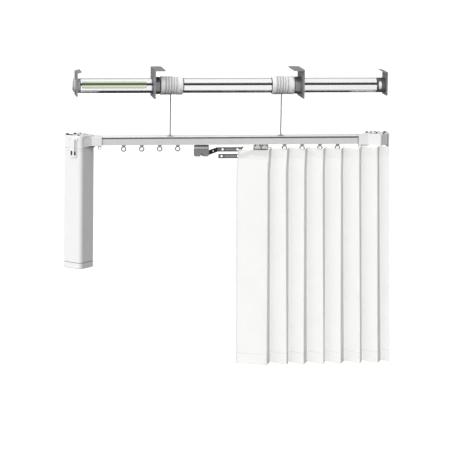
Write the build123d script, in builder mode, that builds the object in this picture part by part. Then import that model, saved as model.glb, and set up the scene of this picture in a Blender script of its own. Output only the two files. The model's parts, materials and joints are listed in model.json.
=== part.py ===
from build123d import *
import math
import os

# Motorised curtain lift system: a motor roller with two cable drums hangs
# under the ceiling and raises a motorised bi-parting curtain rail.
# Millimetres, +Z up, front is -Y.  z = 0 is the ceiling plane, the roller
# axis is at y = 0, and x = 0 is midway between the two support brackets.

os.makedirs("parts", exist_ok=True)

# ---------------------------------------------------------------- sizes
AX = -44.0                 # height of the roller axis
TUBE_R = 19.0              # roller tube, outer radius
TUBE_WALL = 1.2
TUBE_X0, TUBE_X1 = -377.5, 386.0
KEY_A = 158.0              # keyway: 22 degrees above the front horizontal
PLATE = 3.0                # bracket sheet
END_L, END_R = -389.0, 409.3   # end plates, left face of each
SUP_X = 191.0              # support plates, middle of the sheet
SUP_D = 90.0               # support plates, depth front to back
SUP_H = 74.0               # support plates, drop below the ceiling
FLANGE = 24.0              # support flange, length along x
CEIL_X, CEIL_Y = 176.5, 30.0   # ceiling screws
CAN_R = 13.0               # lift motor can
DRUM_R = 22.0              # cable drum barrel
CABLE_R = 0.9              # steel lift cable
WRAP_R = DRUM_R + CABLE_R  # where the cable runs on the drum
DRUM_X = (-173.0, 114.5)   # left end of each drum
PITCH = 7.0                # cable groove, advance per turn
DROP_AT = 30.0             # where the cable leaves, from the drum's left end
DROP_L, DROP_R = DRUM_X[0] + DROP_AT, DRUM_X[1] + DROP_AT

YT = WRAP_R                # the rail hangs under the back of the drums
RAIL_X0, RAIL_X1 = -332.5, 358.5
RAIL_TOP, RAIL_H, RAIL_W = -178.0, 20.0, 34.0
RAIL_BOT = RAIL_TOP - RAIL_H
SLOT = 8.0                 # slot under the rail
BELT_T, BELT_H = 1.4, 7.0
PITCH_R = 11.5             # belt pitch radius on both pulleys
BELT_Z = -188.5            # lower edge of the belt
MX = -376.5                # drive box and curtain motor, centre
IX = 397.0                 # idler pulley, centre
BOX = 56.0                 # motor, side of its square section
BOX_R = 6.0
BOX_FRONT_R = 11.0         # its front and back corners are rounder
BOX_TOP, BOX_BOT = -172.0, -204.0
COLLAR_BOT = -211.0
SHELL_BOT = -499.0
CAP_BOT = -515.0
XC = 16.0                  # middle of the bi-parting run
CARRIAGE = 77.5            # master carriers, either side of the middle
GLIDERS = (139.0, 185.5, 232.0, 278.5)
EYE_Z = -210.0
CLOTH_TOP, CLOTH_BOT = -204.0, -774.0


def yz(x, y=0.0, z=AX):
    """Plane across the roller, facing +X: its x runs along +Y, its y up."""
    return Plane(origin=(x, y, z), x_dir=(0, 1, 0), z_dir=(1, 0, 0))


def xz(y):
    """Plane along the rail, facing -Y: its x runs along +X, its y up."""
    return Plane(origin=(0, y, 0), x_dir=(1, 0, 0), z_dir=(0, -1, 0))


def save(part, label):
    part.label = label
    export_step(part, f"parts/{label}.step")


# ------------------------------------------------- brackets of the roller
# Left end bracket: plate with a bent top edge, two wall screw holes above,
# one oval hole below, and the round hole for the motor head.
with BuildPart() as motor_end_bracket:
    with BuildSketch(yz(END_L, 0, 0)):
        with Locations((0, -38.5)):
            RectangleRounded(58, 61, 4)
        with Locations((0, AX)):
            Circle(15.5, mode=Mode.SUBTRACT)
        with Locations((-15, -20), (15, -20)):
            Circle(2.6, mode=Mode.SUBTRACT)
        with Locations((0, -64.4)):
            SlotOverall(8, 4.6, mode=Mode.SUBTRACT)
    extrude(amount=PLATE)
    with BuildSketch(xz(29)):
        with BuildLine():
            Polyline((END_L, -16), (END_L, -8), (END_L + 13, -5.2),
                     (END_L + 13.4, -7.4), (END_L + PLATE, -10.4),
                     (END_L + PLATE, -16), close=True)
        make_face()
    extrude(amount=58)
    fillet(motor_end_bracket.edges().filter_by(Axis.Y).group_by(Axis.X)[0]
           .sort_by(Axis.Z)[-1:], radius=1.6)
save(motor_end_bracket.part, "motor_end_bracket")

with BuildPart() as idler_end_bracket:
    with BuildSketch(yz(END_R, 0, 0)):
        with Locations((0, -38.5)):
            RectangleRounded(58, 61, 4)
        with Locations((-15, -20), (15, -20)):
            Circle(2.6, mode=Mode.SUBTRACT)
        with Locations((0, -22.5)):
            Circle(1.4, mode=Mode.SUBTRACT)
        with Locations((0, -64.4)):
            SlotOverall(8, 4.6, mode=Mode.SUBTRACT)
        with Locations((-11, AX), (11, AX)):
            Circle(1.65, mode=Mode.SUBTRACT)
    extrude(amount=PLATE)
    with BuildSketch(xz(29)):
        with BuildLine():
            Polyline((END_R, -16), (END_R, -10.4), (END_R - 10.4, -7.4),
                     (END_R - 10, -5.2), (END_R + PLATE, -8),
                     (END_R + PLATE, -16), close=True)
        make_face()
    extrude(amount=58)
    fillet(idler_end_bracket.edges().filter_by(Axis.Y).group_by(Axis.X)[-1]
           .sort_by(Axis.Z)[-1:], radius=1.6)
save(idler_end_bracket.part, "idler_end_bracket")

# Support brackets: angle sheets with two ceiling holes in each flange.
with BuildPart() as support_brackets:
    for side in (-1, 1):
        with BuildSketch(xz(SUP_D / 2)):
            with BuildLine():
                Polyline((side * (SUP_X + 1.5), 0), (side * (SUP_X + 1.5), -SUP_H),
                         (side * (SUP_X - 1.5), -SUP_H), (side * (SUP_X - 1.5), -PLATE),
                         (side * (SUP_X + 1.5 - FLANGE - 3), -PLATE),
                         (side * (SUP_X + 1.5 - FLANGE - 3), 0), close=True)
            make_face()
        extrude(amount=SUP_D)
        with BuildSketch(yz(side * SUP_X - 2)):
            Circle(20.8)
        extrude(amount=4, mode=Mode.SUBTRACT)
        with BuildSketch(Plane.XY.offset(-PLATE)):
            with Locations((side * CEIL_X, -CEIL_Y), (side * CEIL_X, CEIL_Y)):
                Circle(2.75)
        extrude(amount=PLATE, mode=Mode.SUBTRACT)
save(support_brackets.part, "support_brackets")

# Bearing rings: snap into the support plates and carry the tube.
with BuildPart() as bearing_rings:
    for side, tip in ((-1, 173.8), (1, 172.3)):
        with BuildSketch(Plane.XZ) as ring_s:
            with BuildLine():
                Polyline((side * (SUP_X + 3.0), AX + 19.06), (side * tip, AX + 19.06),
                         (side * tip, AX + 20.6), (side * (tip + 1.2), AX + 21.6),
                         (side * (tip + 2.6), AX + 22.0),
                         (side * (SUP_X - 1.5), AX + 22.0),
                         (side * (SUP_X - 1.5), AX + 20.75),
                         (side * (SUP_X + 1.5), AX + 20.75),
                         (side * (SUP_X + 1.7), AX + 21.3),
                         (side * (SUP_X + 2.4), AX + 21.3),
                         (side * (SUP_X + 3.0), AX + 20.4), close=True)
            make_face()
        revolve(axis=Axis((0, 0, AX), (1, 0, 0)))
save(bearing_rings.part, "bearing_rings")

# ------------------------------------------------------------ lift motor
# Head: a flange inside the plate, a spigot through it with a pointed crest,
# two adjuster pockets and a cable outlet on the outer face.
with BuildPart() as lift_motor_head:
    with BuildSketch(yz(END_L - 6)):
        Circle(15.4)
    extrude(amount=6 + PLATE)
    with BuildSketch(yz(END_L - 6)):
        with BuildLine():
            Polyline((-7.6, 12.6), (0, 19.4), (7.6, 12.6), close=True)
        make_face()
    extrude(amount=5.0)
    with BuildSketch(yz(END_L + PLATE)):
        Circle(18.4)
    extrude(amount=7.5)
    with BuildSketch(yz(END_L + PLATE + 7.5)):
        Circle(11.9)
    extrude(amount=5)
    with BuildSketch(yz(END_L - 6)):
        with Locations((0, 9.3), (0, 0.6)):
            Circle(2.6)
        with Locations((-3.6, -6.4)):
            SlotCenterToCenter(7.4, 5.2, rotation=-38)
    extrude(amount=6, mode=Mode.SUBTRACT)
    fillet(lift_motor_head.edges().filter_by(GeomType.CIRCLE)
           .filter_by(lambda e: abs(e.radius - 18.4) < 0.01), radius=1.0)
save(lift_motor_head.part, "lift_motor_head")

with BuildPart() as limit_screw_up:
    with BuildSketch(yz(END_L - 6.8)):
        with Locations((0, 9.3)):
            Circle(2.25)
    extrude(amount=6.4)
    with BuildSketch(yz(END_L - 6.8)):
        with Locations((0, 9.3)):
            Rectangle(0.8, 3.4)
    extrude(amount=1.2, mode=Mode.SUBTRACT)
save(limit_screw_up.part, "limit_screw_up")

with BuildPart() as limit_screw_down:
    with BuildSketch(yz(END_L - 6.8)):
        with Locations((0, 0.6)):
            Circle(2.25)
    extrude(amount=6.4)
    with BuildSketch(yz(END_L - 6.8)):
        with Locations((0, 0.6)):
            Rectangle(0.8, 3.4)
    extrude(amount=1.2, mode=Mode.SUBTRACT)
save(limit_screw_down.part, "limit_screw_down")

# Cable gland: rubber grommet with two small wire holes.
with BuildPart() as motor_cable_gland:
    with BuildSketch(yz(END_L - 7.6)):
        with Locations((-3.6, -6.4)):
            SlotCenterToCenter(7.4, 5.2, rotation=-38)
    extrude(amount=7.6)
    with BuildSketch(yz(END_L - 7.6)):
        with Locations((-6.2, -4.3), (-1.0, -8.5)):
            Circle(1.3)
    extrude(amount=5, mode=Mode.SUBTRACT)
save(motor_cable_gland.part, "motor_cable_gland")

CAN_X0 = END_L + PLATE + 7.5
CAN_X1 = -213.0
with BuildPart() as lift_motor_can:
    with BuildSketch(yz(CAN_X0)):
        Circle(CAN_R)
        Circle(CAN_R - 1.0, mode=Mode.SUBTRACT)
    extrude(amount=CAN_X1 - CAN_X0 - 3)
    with BuildSketch(yz(CAN_X1 - 3)):
        Circle(CAN_R)
        Circle(4.1, mode=Mode.SUBTRACT)
    extrude(amount=3)
save(lift_motor_can.part, "lift_motor_can")

# Sealed motor, brake and gearbox unit inside the can.
with BuildPart() as lift_gear_unit:
    with BuildSketch(yz(CAN_X0 + 5)):
        Circle(11.9)
    extrude(amount=CAN_X1 - 3 - CAN_X0 - 5)
    with BuildSketch(yz(CAN_X1 - 3)):
        Circle(4.1)
    extrude(amount=-20, mode=Mode.SUBTRACT)
save(lift_gear_unit.part, "lift_gear_unit")

# ---------------------------------------------------------------- roller
with BuildPart() as roller_tube:
    with BuildSketch(yz(TUBE_X0)):
        Circle(TUBE_R)
        Circle(TUBE_R - TUBE_WALL, mode=Mode.SUBTRACT)
        with PolarLocations(16.4, 1, start_angle=KEY_A):
            Rectangle(4.2, 6.0)
        with PolarLocations(17.6, 1, start_angle=KEY_A):
            Rectangle(4.4, 3.8, mode=Mode.SUBTRACT)
    extrude(amount=TUBE_X1 - TUBE_X0)
save(roller_tube.part, "roller_tube")

# Crown ring: turns on the motor can and drives the limit counter.
with BuildPart() as crown_ring:
    with BuildSketch(yz(TUBE_X0)):
        Circle(TUBE_R - TUBE_WALL)
        Circle(CAN_R + 0.08, mode=Mode.SUBTRACT)
        with PolarLocations(16.6, 1, start_angle=KEY_A):
            Rectangle(4.8, 6.2, mode=Mode.SUBTRACT)
        with PolarLocations(TUBE_R - TUBE_WALL, 10, start_angle=KEY_A + 24):
            Circle(1.2, mode=Mode.SUBTRACT)
    extrude(amount=14)
save(crown_ring.part, "crown_ring")

with BuildPart() as lift_output_shaft:
    with BuildSketch(yz(CAN_X1 - 22)):
        Circle(4.0)
    extrude(amount=37)
save(lift_output_shaft.part, "lift_output_shaft")

# Drive wheel: keyed into the tube on the output shaft.
with BuildPart() as drive_wheel:
    with BuildSketch(yz(CAN_X1 + 2)):
        Circle(TUBE_R - TUBE_WALL)
        Circle(4.0, mode=Mode.SUBTRACT)
        with PolarLocations(16.6, 1, start_angle=KEY_A):
            Rectangle(4.8, 6.2, mode=Mode.SUBTRACT)
        with PolarLocations(10.2, 5, start_angle=KEY_A + 36):
            Circle(2.6, mode=Mode.SUBTRACT)
    extrude(amount=12)
save(drive_wheel.part, "drive_wheel")


def drum_profile(x):
    """Half section of a drum from its left end x: narrow collar, five turns
    of cable groove, drawn here as rings, and the wide collar."""
    pts = [(x, 19.0), (x, 22.0), (x + 1.4, 23.4), (x + 8.6, 23.4), (x + 9.6, 22.4),
           (x + 9.6, DRUM_R), (x + 10.4, DRUM_R)]
    for k in range(-2, 2):
        v = x + DROP_AT + PITCH * k          # middle of one groove
        pts +=[(v + 1.5, DRUM_R), (v + 2.5, 23.2), (v + PITCH - 2.5, 23.2),
                (v + PITCH - 1.5, DRUM_R)]
    pts += [(x + 44.6, DRUM_R), (x + 44.6, 22.4), (x + 45.6, 23.4),
            (x + 55.2, 23.4), (x + 57.0, 21.6), (x + 57.0, 19.0)]
    return [(px, AX + pr) for px, pr in pts]


# Cable drums: white plastic barrels on the tube, with an angled screw hole in
# the wide collar at the right.
with BuildPart() as cable_drums:
    for dx in DRUM_X:
        sx = dx + 51.9
        with BuildSketch(Plane.XZ):
            with BuildLine():
                Polyline(*drum_profile(dx), close=True)
            make_face()
        revolve(axis=Axis((0, 0, AX), (1, 0, 0)))
        with BuildSketch(Plane(origin=(sx, 0, AX), x_dir=(1, 0, 0),
                               z_dir=(0, -math.cos(math.radians(28)),
                                      -math.sin(math.radians(28))))):
            Circle(2.3)
        extrude(amount=26, mode=Mode.SUBTRACT)
save(cable_drums.part, "cable_drums")

# Set screws that hold the drums on the tube.
with BuildPart() as drum_screws:
    for sx in [dx + 51.9 for dx in DRUM_X]:
        down =(0, -math.cos(math.radians(28)), -math.sin(math.radians(28)))
        with BuildSketch(Plane(origin=(sx, 0, AX), x_dir=(1, 0, 0), z_dir=down).offset(19.1)):
            Circle(2.2)
        extrude(amount=4.3)
        with BuildSketch(Plane(origin=(sx, 0, AX), x_dir=(1, 0, 0), z_dir=down).offset(21.8)):
            RegularPolygon(1.2, 6)
        extrude(amount=3, mode=Mode.SUBTRACT)
save(drum_screws.part, "drum_screws")

# Turns of cable stored on each drum, one ring per turn: the last one is where
# the cable leaves, the others lie in the grooves to its left.
with BuildPart() as cable_windings:
    for dx in DRUM_X:
        for k in (-2, -1, 0):
            with BuildSketch(yz(dx + DROP_AT + PITCH * k - CABLE_R)):
                Circle(DRUM_R + 2 * CABLE_R)
                Circle(DRUM_R, mode=Mode.SUBTRACT)
            extrude(amount=2 * CABLE_R)
save(cable_windings.part, "cable_windings")

# Thin film on the tube over the length that holds the motor.
with BuildPart() as tube_film:
    with BuildSketch(yz(-374)):
        with BuildLine():
            CenterArc((0, 0), TUBE_R + 0.15, 138, 52)
            l2 = CenterArc((0, 0), TUBE_R, 138, 52)
            Line((TUBE_R * math.cos(math.radians(138)), TUBE_R * math.sin(math.radians(138))),
                 ((TUBE_R + 0.15) * math.cos(math.radians(138)), (TUBE_R + 0.15) * math.sin(math.radians(138))))
            Line((TUBE_R * math.cos(math.radians(190)), TUBE_R * math.sin(math.radians(190))),
                 ((TUBE_R + 0.15) * math.cos(math.radians(190)), (TUBE_R + 0.15) * math.sin(math.radians(190))))
        make_face()
    extrude(amount=164)
save(tube_film.part, "tube_film")

# Idler plug: closes the right end of the tube and carries its pin.
with BuildPart() as idler_plug:
    with BuildSketch(yz(TUBE_X1 - 22)):
        Circle(TUBE_R - TUBE_WALL)
        with PolarLocations(16.6, 1, start_angle=KEY_A):
            Rectangle(4.8, 6.2, mode=Mode.SUBTRACT)
    extrude(amount=22)
    with BuildSketch(yz(TUBE_X1)):
        Circle(18.2)
    extrude(amount=1.0)
    with BuildSketch(yz(TUBE_X1 + 1)):
        Circle(5.0)
    extrude(amount=16)
save(idler_plug.part, "idler_plug")

# Idler cup on the right plate, with an oval window at the front.
with BuildPart() as idler_cup:
    with BuildSketch(yz(END_R - 21.8)):
        Circle(TUBE_R)
        Circle(17.0, mode=Mode.SUBTRACT)
    extrude(amount=17.8)
    with BuildSketch(yz(END_R - 4)):
        Circle(TUBE_R)
    extrude(amount=4)
    with BuildSketch(yz(END_R)):
        with Locations((-11, 0), (11, 0)):
            Circle(1.3)
    extrude(amount=-4, mode=Mode.SUBTRACT)
    with BuildSketch(xz(0)):
        with Locations((395.2, AX + 1.0)):
            Ellipse(4.3, 11.0)
    extrude(amount=24, mode=Mode.SUBTRACT)
    with BuildSketch(yz(END_R - 21.8)):
        with PolarLocations(TUBE_R, 1, start_angle=KEY_A):
            Rectangle(1.6, 2.6)
    extrude(amount=21.8, mode=Mode.SUBTRACT)
save(idler_cup.part, "idler_cup")

with BuildPart() as idler_bush:
    with BuildSketch(yz(END_R - 19)):
        Circle(12.5)
        Circle(5.06, mode=Mode.SUBTRACT)
    extrude(amount=15)
    with BuildSketch(yz(END_R - 9)):
        Circle(16.9)
        Circle(5.06, mode=Mode.SUBTRACT)
    extrude(amount=5)
save(idler_bush.part, "idler_bush")

# Fasteners of the end plates: the spring clip that keeps the motor head's
# spigot in its plate, and the two screws of the idler cup.
with BuildPart() as end_plate_fasteners:
    with BuildSketch(yz(END_L - 1.0)):
        Circle(17.4)
        Circle(15.4, mode=Mode.SUBTRACT)
        with Locations((0, -16.4)):
            Rectangle(9, 4, mode=Mode.SUBTRACT)
    extrude(amount=1.0)
    for sy in (-11, 11):
        with BuildSketch(yz(END_R - 4, sy)):
            Circle(1.3)
        extrude(amount=4 + PLATE)
        with BuildSketch(yz(END_R + PLATE, sy)):
            Circle(2.9)
        extrude(amount=1.9)
        with BuildSketch(yz(END_R + PLATE + 1.0, sy)):
            Rectangle(4.0, 0.8)
            Rectangle(0.8, 4.0)
        extrude(amount=2, mode=Mode.SUBTRACT)
save(end_plate_fasteners.part, "end_plate_fasteners")

# ------------------------------------------------------------ lift cables
with BuildPart() as lift_cable_left:
    with BuildSketch(Plane.XY.offset(-176)):
        with Locations((DROP_L, YT)):
            Circle(CABLE_R)
    extrude(amount=122)
save(lift_cable_left.part, "lift_cable_left")

with BuildPart() as lift_cable_right:
    with BuildSketch(Plane.XY.offset(-176)):
        with Locations((DROP_R, YT)):
            Circle(CABLE_R)
    extrude(amount=122)
save(lift_cable_right.part, "lift_cable_right")

# Cable hangers: foot plate and crimped sleeve on top of the rail.
with BuildPart() as cable_hangers:
    for hx in (DROP_L, DROP_R):
        with BuildSketch(Plane.XY.offset(RAIL_TOP)):
            with Locations((hx, YT)):
                RectangleRounded(15, 9, 3)
        extrude(amount=1.4)
        with BuildSketch(Plane.XY.offset(RAIL_TOP + 1.4)):
            with Locations((hx, YT)):
                Circle(2.3)
        extrude(amount=5.0)
        with BuildSketch(Plane.XY.offset(-176)):
            with Locations((hx, YT)):
                Circle(CABLE_R)
        extrude(amount=10, mode=Mode.SUBTRACT)
save(cable_hangers.part, "cable_hangers")

# ------------------------------------------------------------------ rail
# Aluminium section: clip grooves along both sides near the top, belt lanes
# inside, and a slot below for the gliders.
with BuildPart() as track_rail:
    with BuildSketch(yz(RAIL_X0, YT, RAIL_BOT)):
        with Locations((0, RAIL_H / 2)):
            Rectangle(RAIL_W, RAIL_H)
        with Locations((0, 8.2)):
            Rectangle(31.2, 13.6, mode=Mode.SUBTRACT)
        with Locations((0, 16.8)):
            Rectangle(28.0, 3.6, mode=Mode.SUBTRACT)
        Rectangle(SLOT, 4, mode=Mode.SUBTRACT)
        with Locations((-RAIL_W / 2, RAIL_H - 2.7), (RAIL_W / 2, RAIL_H - 2.7)):
            Rectangle(3.0, 2.4, mode=Mode.SUBTRACT)
    extrude(amount=RAIL_X1 - RAIL_X0)
save(track_rail.part, "track_rail")

# ------------------------------------------------ drive box, left end
U = math.sqrt(0.5)
FACE = Plane(origin=(MX - U * BOX / 2, YT - U * BOX / 2, 0),
             x_dir=(U, -U, 0), z_dir=(-U, -U, 0))   # front left face
PIN_Z, PIN_OUT = -179.8, 1.6      # latch pin above the face
STRAP = 5.3                       # strap centre along the face


def box_section(inset):
    """Section of box and motor: a square turned by 45 degrees, with rounder
    corners at the front and back than at the sides."""
    h = (BOX - 2 * inset) * U
    with BuildSketch() as s:
        with BuildLine():
            Polyline((MX - h, YT), (MX, YT - h), (MX + h, YT), (MX, YT + h), close=True)
        make_face()
        fillet(s.vertices().filter_by(lambda v: abs(v.X - MX) < 1), radius=BOX_FRONT_R - inset)
        fillet(s.vertices().filter_by(lambda v: abs(v.Y - YT) < 1), radius=BOX_R - inset)
    return s.sketch


OUTER = box_section(0)
INNER = box_section(2.5)
SHELL_INNER = box_section(2.2)

with BuildPart() as drive_housing:
    with BuildSketch(Plane.XY.offset(BOX_BOT)):
        add(OUTER)
    extrude(amount=BOX_TOP - 2.5 - BOX_BOT)
    with BuildSketch(Plane.XY.offset(-200.0)):
        with Locations(((-358 - 320.5) / 2, YT)):
            Rectangle(37.5, 38)
    extrude(amount=24.0)
    fillet(drive_housing.edges().filter_by(Axis.X), radius=1.6)
    # fairing that leads the front corner of the box over to the rail socket
    with BuildSketch(Plane.XY.offset(-199.4)):
        with BuildLine():
            Polyline((MX + 9.4, YT - 30.2), (-346.5, YT - 18.9), (-340.0, YT - 17.5),
                     (-346.0, YT - 8.0), (MX + 14.0, YT - 18.0), close=True)
        make_face()
    extrude(amount=22.8)
    for t in (STRAP - 12.4, STRAP + 12.4):
        with BuildSketch(FACE.offset(-2.0)):
            with Locations((t, PIN_Z)):
                RectangleRounded(2.6, 6.4, 1.0)
        extrude(amount=5.4)
    with BuildSketch(Plane.XY.offset(BOX_BOT + 3)):
        add(INNER)
    extrude(amount=40, mode=Mode.SUBTRACT)
    with BuildSketch(yz(-362, YT, -185)):
        Rectangle(28, 11)
    extrude(amount=40, mode=Mode.SUBTRACT)
    with BuildSketch(yz(RAIL_X0, YT, -188)):
        Rectangle(34.3, 20.3)
    extrude(amount=20, mode=Mode.SUBTRACT)
    with BuildSketch(Plane.XY.offset(BOX_BOT)):
        with Locations((MX, YT)):
            Circle(6.0)
    extrude(amount=4, mode=Mode.SUBTRACT)
    with BuildSketch(Plane(origin=FACE.origin + Vector(-U, -U, 0) * PIN_OUT
                           + Vector(U, -U, 0) * (STRAP - 16) + Vector(0, 0, PIN_Z),
                           x_dir=(0, 0, 1), z_dir=(U, -U, 0))):
        Circle(1.1)
    extrude(amount=32, mode=Mode.SUBTRACT)
save(drive_housing.part, "drive_housing")

with BuildPart() as drive_cover:
    with BuildSketch(Plane.XY.offset(BOX_TOP - 2.5)):
        add(OUTER)
    extrude(amount=2.5)
    chamfer(drive_cover.faces().sort_by(Axis.Z)[-1].edges(), length=0.8)
    with BuildSketch(Plane.XY.offset(BOX_TOP - 5.6)):
        with Locations((MX, YT)):
            Circle(7.5)
    extrude(amount=3.1)
    with BuildSketch(Plane.XY.offset(BOX_TOP - 5.6)):
        with Locations((MX, YT)):
            Circle(4.06)
    extrude(amount=3.6, mode=Mode.SUBTRACT)
    with BuildSketch(Plane.XY.offset(BOX_TOP - 1.3)):
        with Locations((-404, YT), (-349, YT), (MX, YT - 27), (MX, YT + 27)):
            Circle(2.8)
        with Locations((-390, YT - 2)):
            SlotOverall(10, 4.4, rotation=-45)
        with Locations((-365, YT + 5), (-380, YT + 15)):
            RectangleRounded(7, 3.6, 1)
    extrude(amount=2, mode=Mode.SUBTRACT)
    with BuildSketch(Plane.XY.offset(BOX_TOP - 3)):
        with Locations((-404, YT), (-349, YT), (MX, YT - 27), (MX, YT + 27)):
            Circle(1.3)
    extrude(amount=3, mode=Mode.SUBTRACT)
save(drive_cover.part, "drive_cover")

with BuildPart() as drive_bush:
    with BuildSketch(Plane.XY.offset(BOX_BOT)):
        with Locations((MX, YT)):
            Circle(6.0)
            Circle(4.06, mode=Mode.SUBTRACT)
    extrude(amount=3)
    with BuildSketch(Plane.XY.offset(BOX_BOT + 3)):
        with Locations((MX, YT)):
            Circle(8.0)
            Circle(4.06, mode=Mode.SUBTRACT)
    extrude(amount=1.5)
save(drive_bush.part, "drive_bush")

with BuildPart() as motor_collar:
    with BuildSketch(Plane.XY.offset(COLLAR_BOT)):
        add(OUTER)
        with Locations((MX, YT)):
            Circle(12, mode=Mode.SUBTRACT)
    extrude(amount=BOX_BOT - COLLAR_BOT)
    chamfer(motor_collar.faces().sort_by(Axis.Z)[-1].outer_wire().edges()
            + motor_collar.faces().sort_by(Axis.Z)[0].outer_wire().edges(), length=0.7)
save(motor_collar.part, "motor_collar")

with BuildPart() as motor_shell:
    with BuildSketch(Plane.XY.offset(SHELL_BOT)):
        add(OUTER)
    extrude(amount=COLLAR_BOT - SHELL_BOT)
    chamfer(motor_shell.faces().sort_by(Axis.Z)[-1].edges(), length=0.6)
    with BuildSketch(Plane.XY.offset(SHELL_BOT)):
        add(SHELL_INNER)
    extrude(amount=COLLAR_BOT - 3 - SHELL_BOT, mode=Mode.SUBTRACT)
    with BuildSketch(Plane.XY.offset(COLLAR_BOT - 4)):
        with Locations((MX, YT)):
            Circle(8.0)
    extrude(amount=6, mode=Mode.SUBTRACT)
save(motor_shell.part, "motor_shell")

# Bottom cap with the power inlet pocket.
with BuildPart() as motor_cap:
    with BuildSketch(Plane.XY.offset(CAP_BOT)):
        add(OUTER)
    extrude(amount=SHELL_BOT - CAP_BOT)
    fillet(motor_cap.faces().sort_by(Axis.Z)[0].edges(), radius=2.5)
    with BuildSketch(Plane.XY.offset(CAP_BOT + 3)):
        add(INNER)
    extrude(amount=20, mode=Mode.SUBTRACT)
    with BuildSketch(Plane.XY.offset(CAP_BOT)):
        with Locations((MX - 10, YT)):
            RectangleRounded(13.2, 17.2, 1.5)
    extrude(amount=4, mode=Mode.SUBTRACT)
save(motor_cap.part, "motor_cap")

# Power inlet: a socket with three contact slots, seated in the cap.
with BuildPart() as power_inlet:
    with BuildSketch(Plane.XY.offset(CAP_BOT + 0.6)):
        with Locations((MX - 10, YT)):
            RectangleRounded(13.2, 17.2, 1.5)
    extrude(amount=13)
    with BuildSketch(Plane.XY.offset(CAP_BOT + 0.6)):
        with Locations((MX - 10, YT)):
            with GridLocations(0, 4.6, 1, 3):
                Rectangle(7.0, 1.6)
    extrude(amount=8, mode=Mode.SUBTRACT)
save(power_inlet.part, "power_inlet")

# Sealed DC motor and gearbox, hung from the top of the shell.
with BuildPart() as dc_gearmotor:
    with BuildSketch(Plane.XY.offset(-330)):
        with Locations((MX, YT)):
            Circle(18.5)
    extrude(amount=116)
    with BuildSketch(Plane.XY.offset(-214)):
        with Locations((MX, YT)):
            Circle(7.9)
    extrude(amount=3)
    with BuildSketch(Plane.XY.offset(-228)):
        with Locations((MX, YT)):
            Circle(4.1)
    extrude(amount=20, mode=Mode.SUBTRACT)
save(dc_gearmotor.part, "dc_gearmotor")

with BuildPart() as control_board:
    with BuildSketch(Plane.XY.offset(-480)):
        with Locations((MX + 4, YT)):
            Rectangle(1.6, 40)
    extrude(amount=130)
    with BuildSketch(Plane.XY.offset(-460)):
        with Locations((MX + 9.8, YT - 6), (MX + 9.8, YT + 8)):
            Rectangle(10, 9)
    extrude(amount=22)
    with BuildSketch(Plane.XY.offset(-420)):
        with Locations((MX + 7.3, YT)):
            Rectangle(5, 20)
    extrude(amount=34)
save(control_board.part, "control_board")

# Latch: strap on the front left face that holds the motor on the box.
with BuildPart() as motor_latch:
    with BuildSketch(FACE.offset(0.35)):
        with Locations((STRAP, (PIN_Z - 226.0) / 2)):
            Rectangle(21.4, PIN_Z + 226.0)
        with Locations((STRAP - 5.6, -217.6), (STRAP + 5.2, -217.6)):
            SlotOverall(8.4, 3.6, rotation=90, mode=Mode.SUBTRACT)
    extrude(amount=2.5)
    fillet(motor_latch.edges().filter_by(lambda e: abs(e.length - 2.5) < 0.01)
           .group_by(Axis.Z)[0], radius=3.0)
    with BuildSketch(Plane(origin=FACE.origin + Vector(-U, -U, 0) * PIN_OUT
                           + Vector(U, -U, 0) * (STRAP - 10.7) + Vector(0, 0, PIN_Z),
                           x_dir=(0, 0, 1), z_dir=(U, -U, 0))):
        Circle(1.25)
    extrude(amount=21.4)
    with BuildSketch(FACE.offset(2.85)):
        with Locations((STRAP + 5.2, -196)):
            Rectangle(1.4, 26)
    extrude(amount=-0.8, mode=Mode.SUBTRACT)
    with BuildSketch(Plane(origin=FACE.origin + Vector(-U, -U, 0) * PIN_OUT
                           + Vector(U, -U, 0) * (STRAP - 13.7) + Vector(0, 0, PIN_Z),
                           x_dir=(0, 0, 1), z_dir=(U, -U, 0))):
        Circle(1.05)
    extrude(amount=27.4)
save(motor_latch.part, "motor_latch")

# Toothed pulley and its shaft.
with BuildPart() as drive_pulley:
    with BuildSketch(Plane.XY.offset(BELT_Z - 0.3)):
        with Locations((MX, YT)):
            Circle(PITCH_R - BELT_T / 2 - 0.3)
            with PolarLocations(PITCH_R - BELT_T / 2 - 0.3, 20):
                Circle(0.85, mode=Mode.SUBTRACT)
    extrude(amount=BELT_H + 0.6)
    with BuildSketch(Plane.XY.offset(BELT_Z - 1.1)):
        with Locations((MX, YT)):
            Circle(12.5)
    extrude(amount=0.8)
    with BuildSketch(Plane.XY.offset(BELT_Z + BELT_H + 0.3)):
        with Locations((MX, YT)):
            Circle(12.5)
    extrude(amount=0.8)
    with BuildSketch(Plane.XY.offset(BELT_Z - 2)):
        with Locations((MX, YT)):
            Circle(4.0)
    extrude(amount=12, mode=Mode.SUBTRACT)
save(drive_pulley.part, "drive_pulley")

with BuildPart() as drive_shaft:
    with BuildSketch(Plane.XY.offset(-227)):
        with Locations((MX, YT)):
            Circle(4.0)
    extrude(amount=52.5)
save(drive_shaft.part, "drive_shaft")

# Belt: one closed loop round both pulleys, inside the rail's lanes.
with BuildPart() as drive_belt:
    with BuildSketch(Plane.XY.offset(BELT_Z)):
        with Locations(((MX + IX) / 2, YT)):
            SlotCenterToCenter(IX - MX, 2 * (PITCH_R + BELT_T / 2))
            SlotCenterToCenter(IX - MX, 2 * (PITCH_R - BELT_T / 2), mode=Mode.SUBTRACT)
    extrude(amount=BELT_H)
save(drive_belt.part, "drive_belt")

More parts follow.
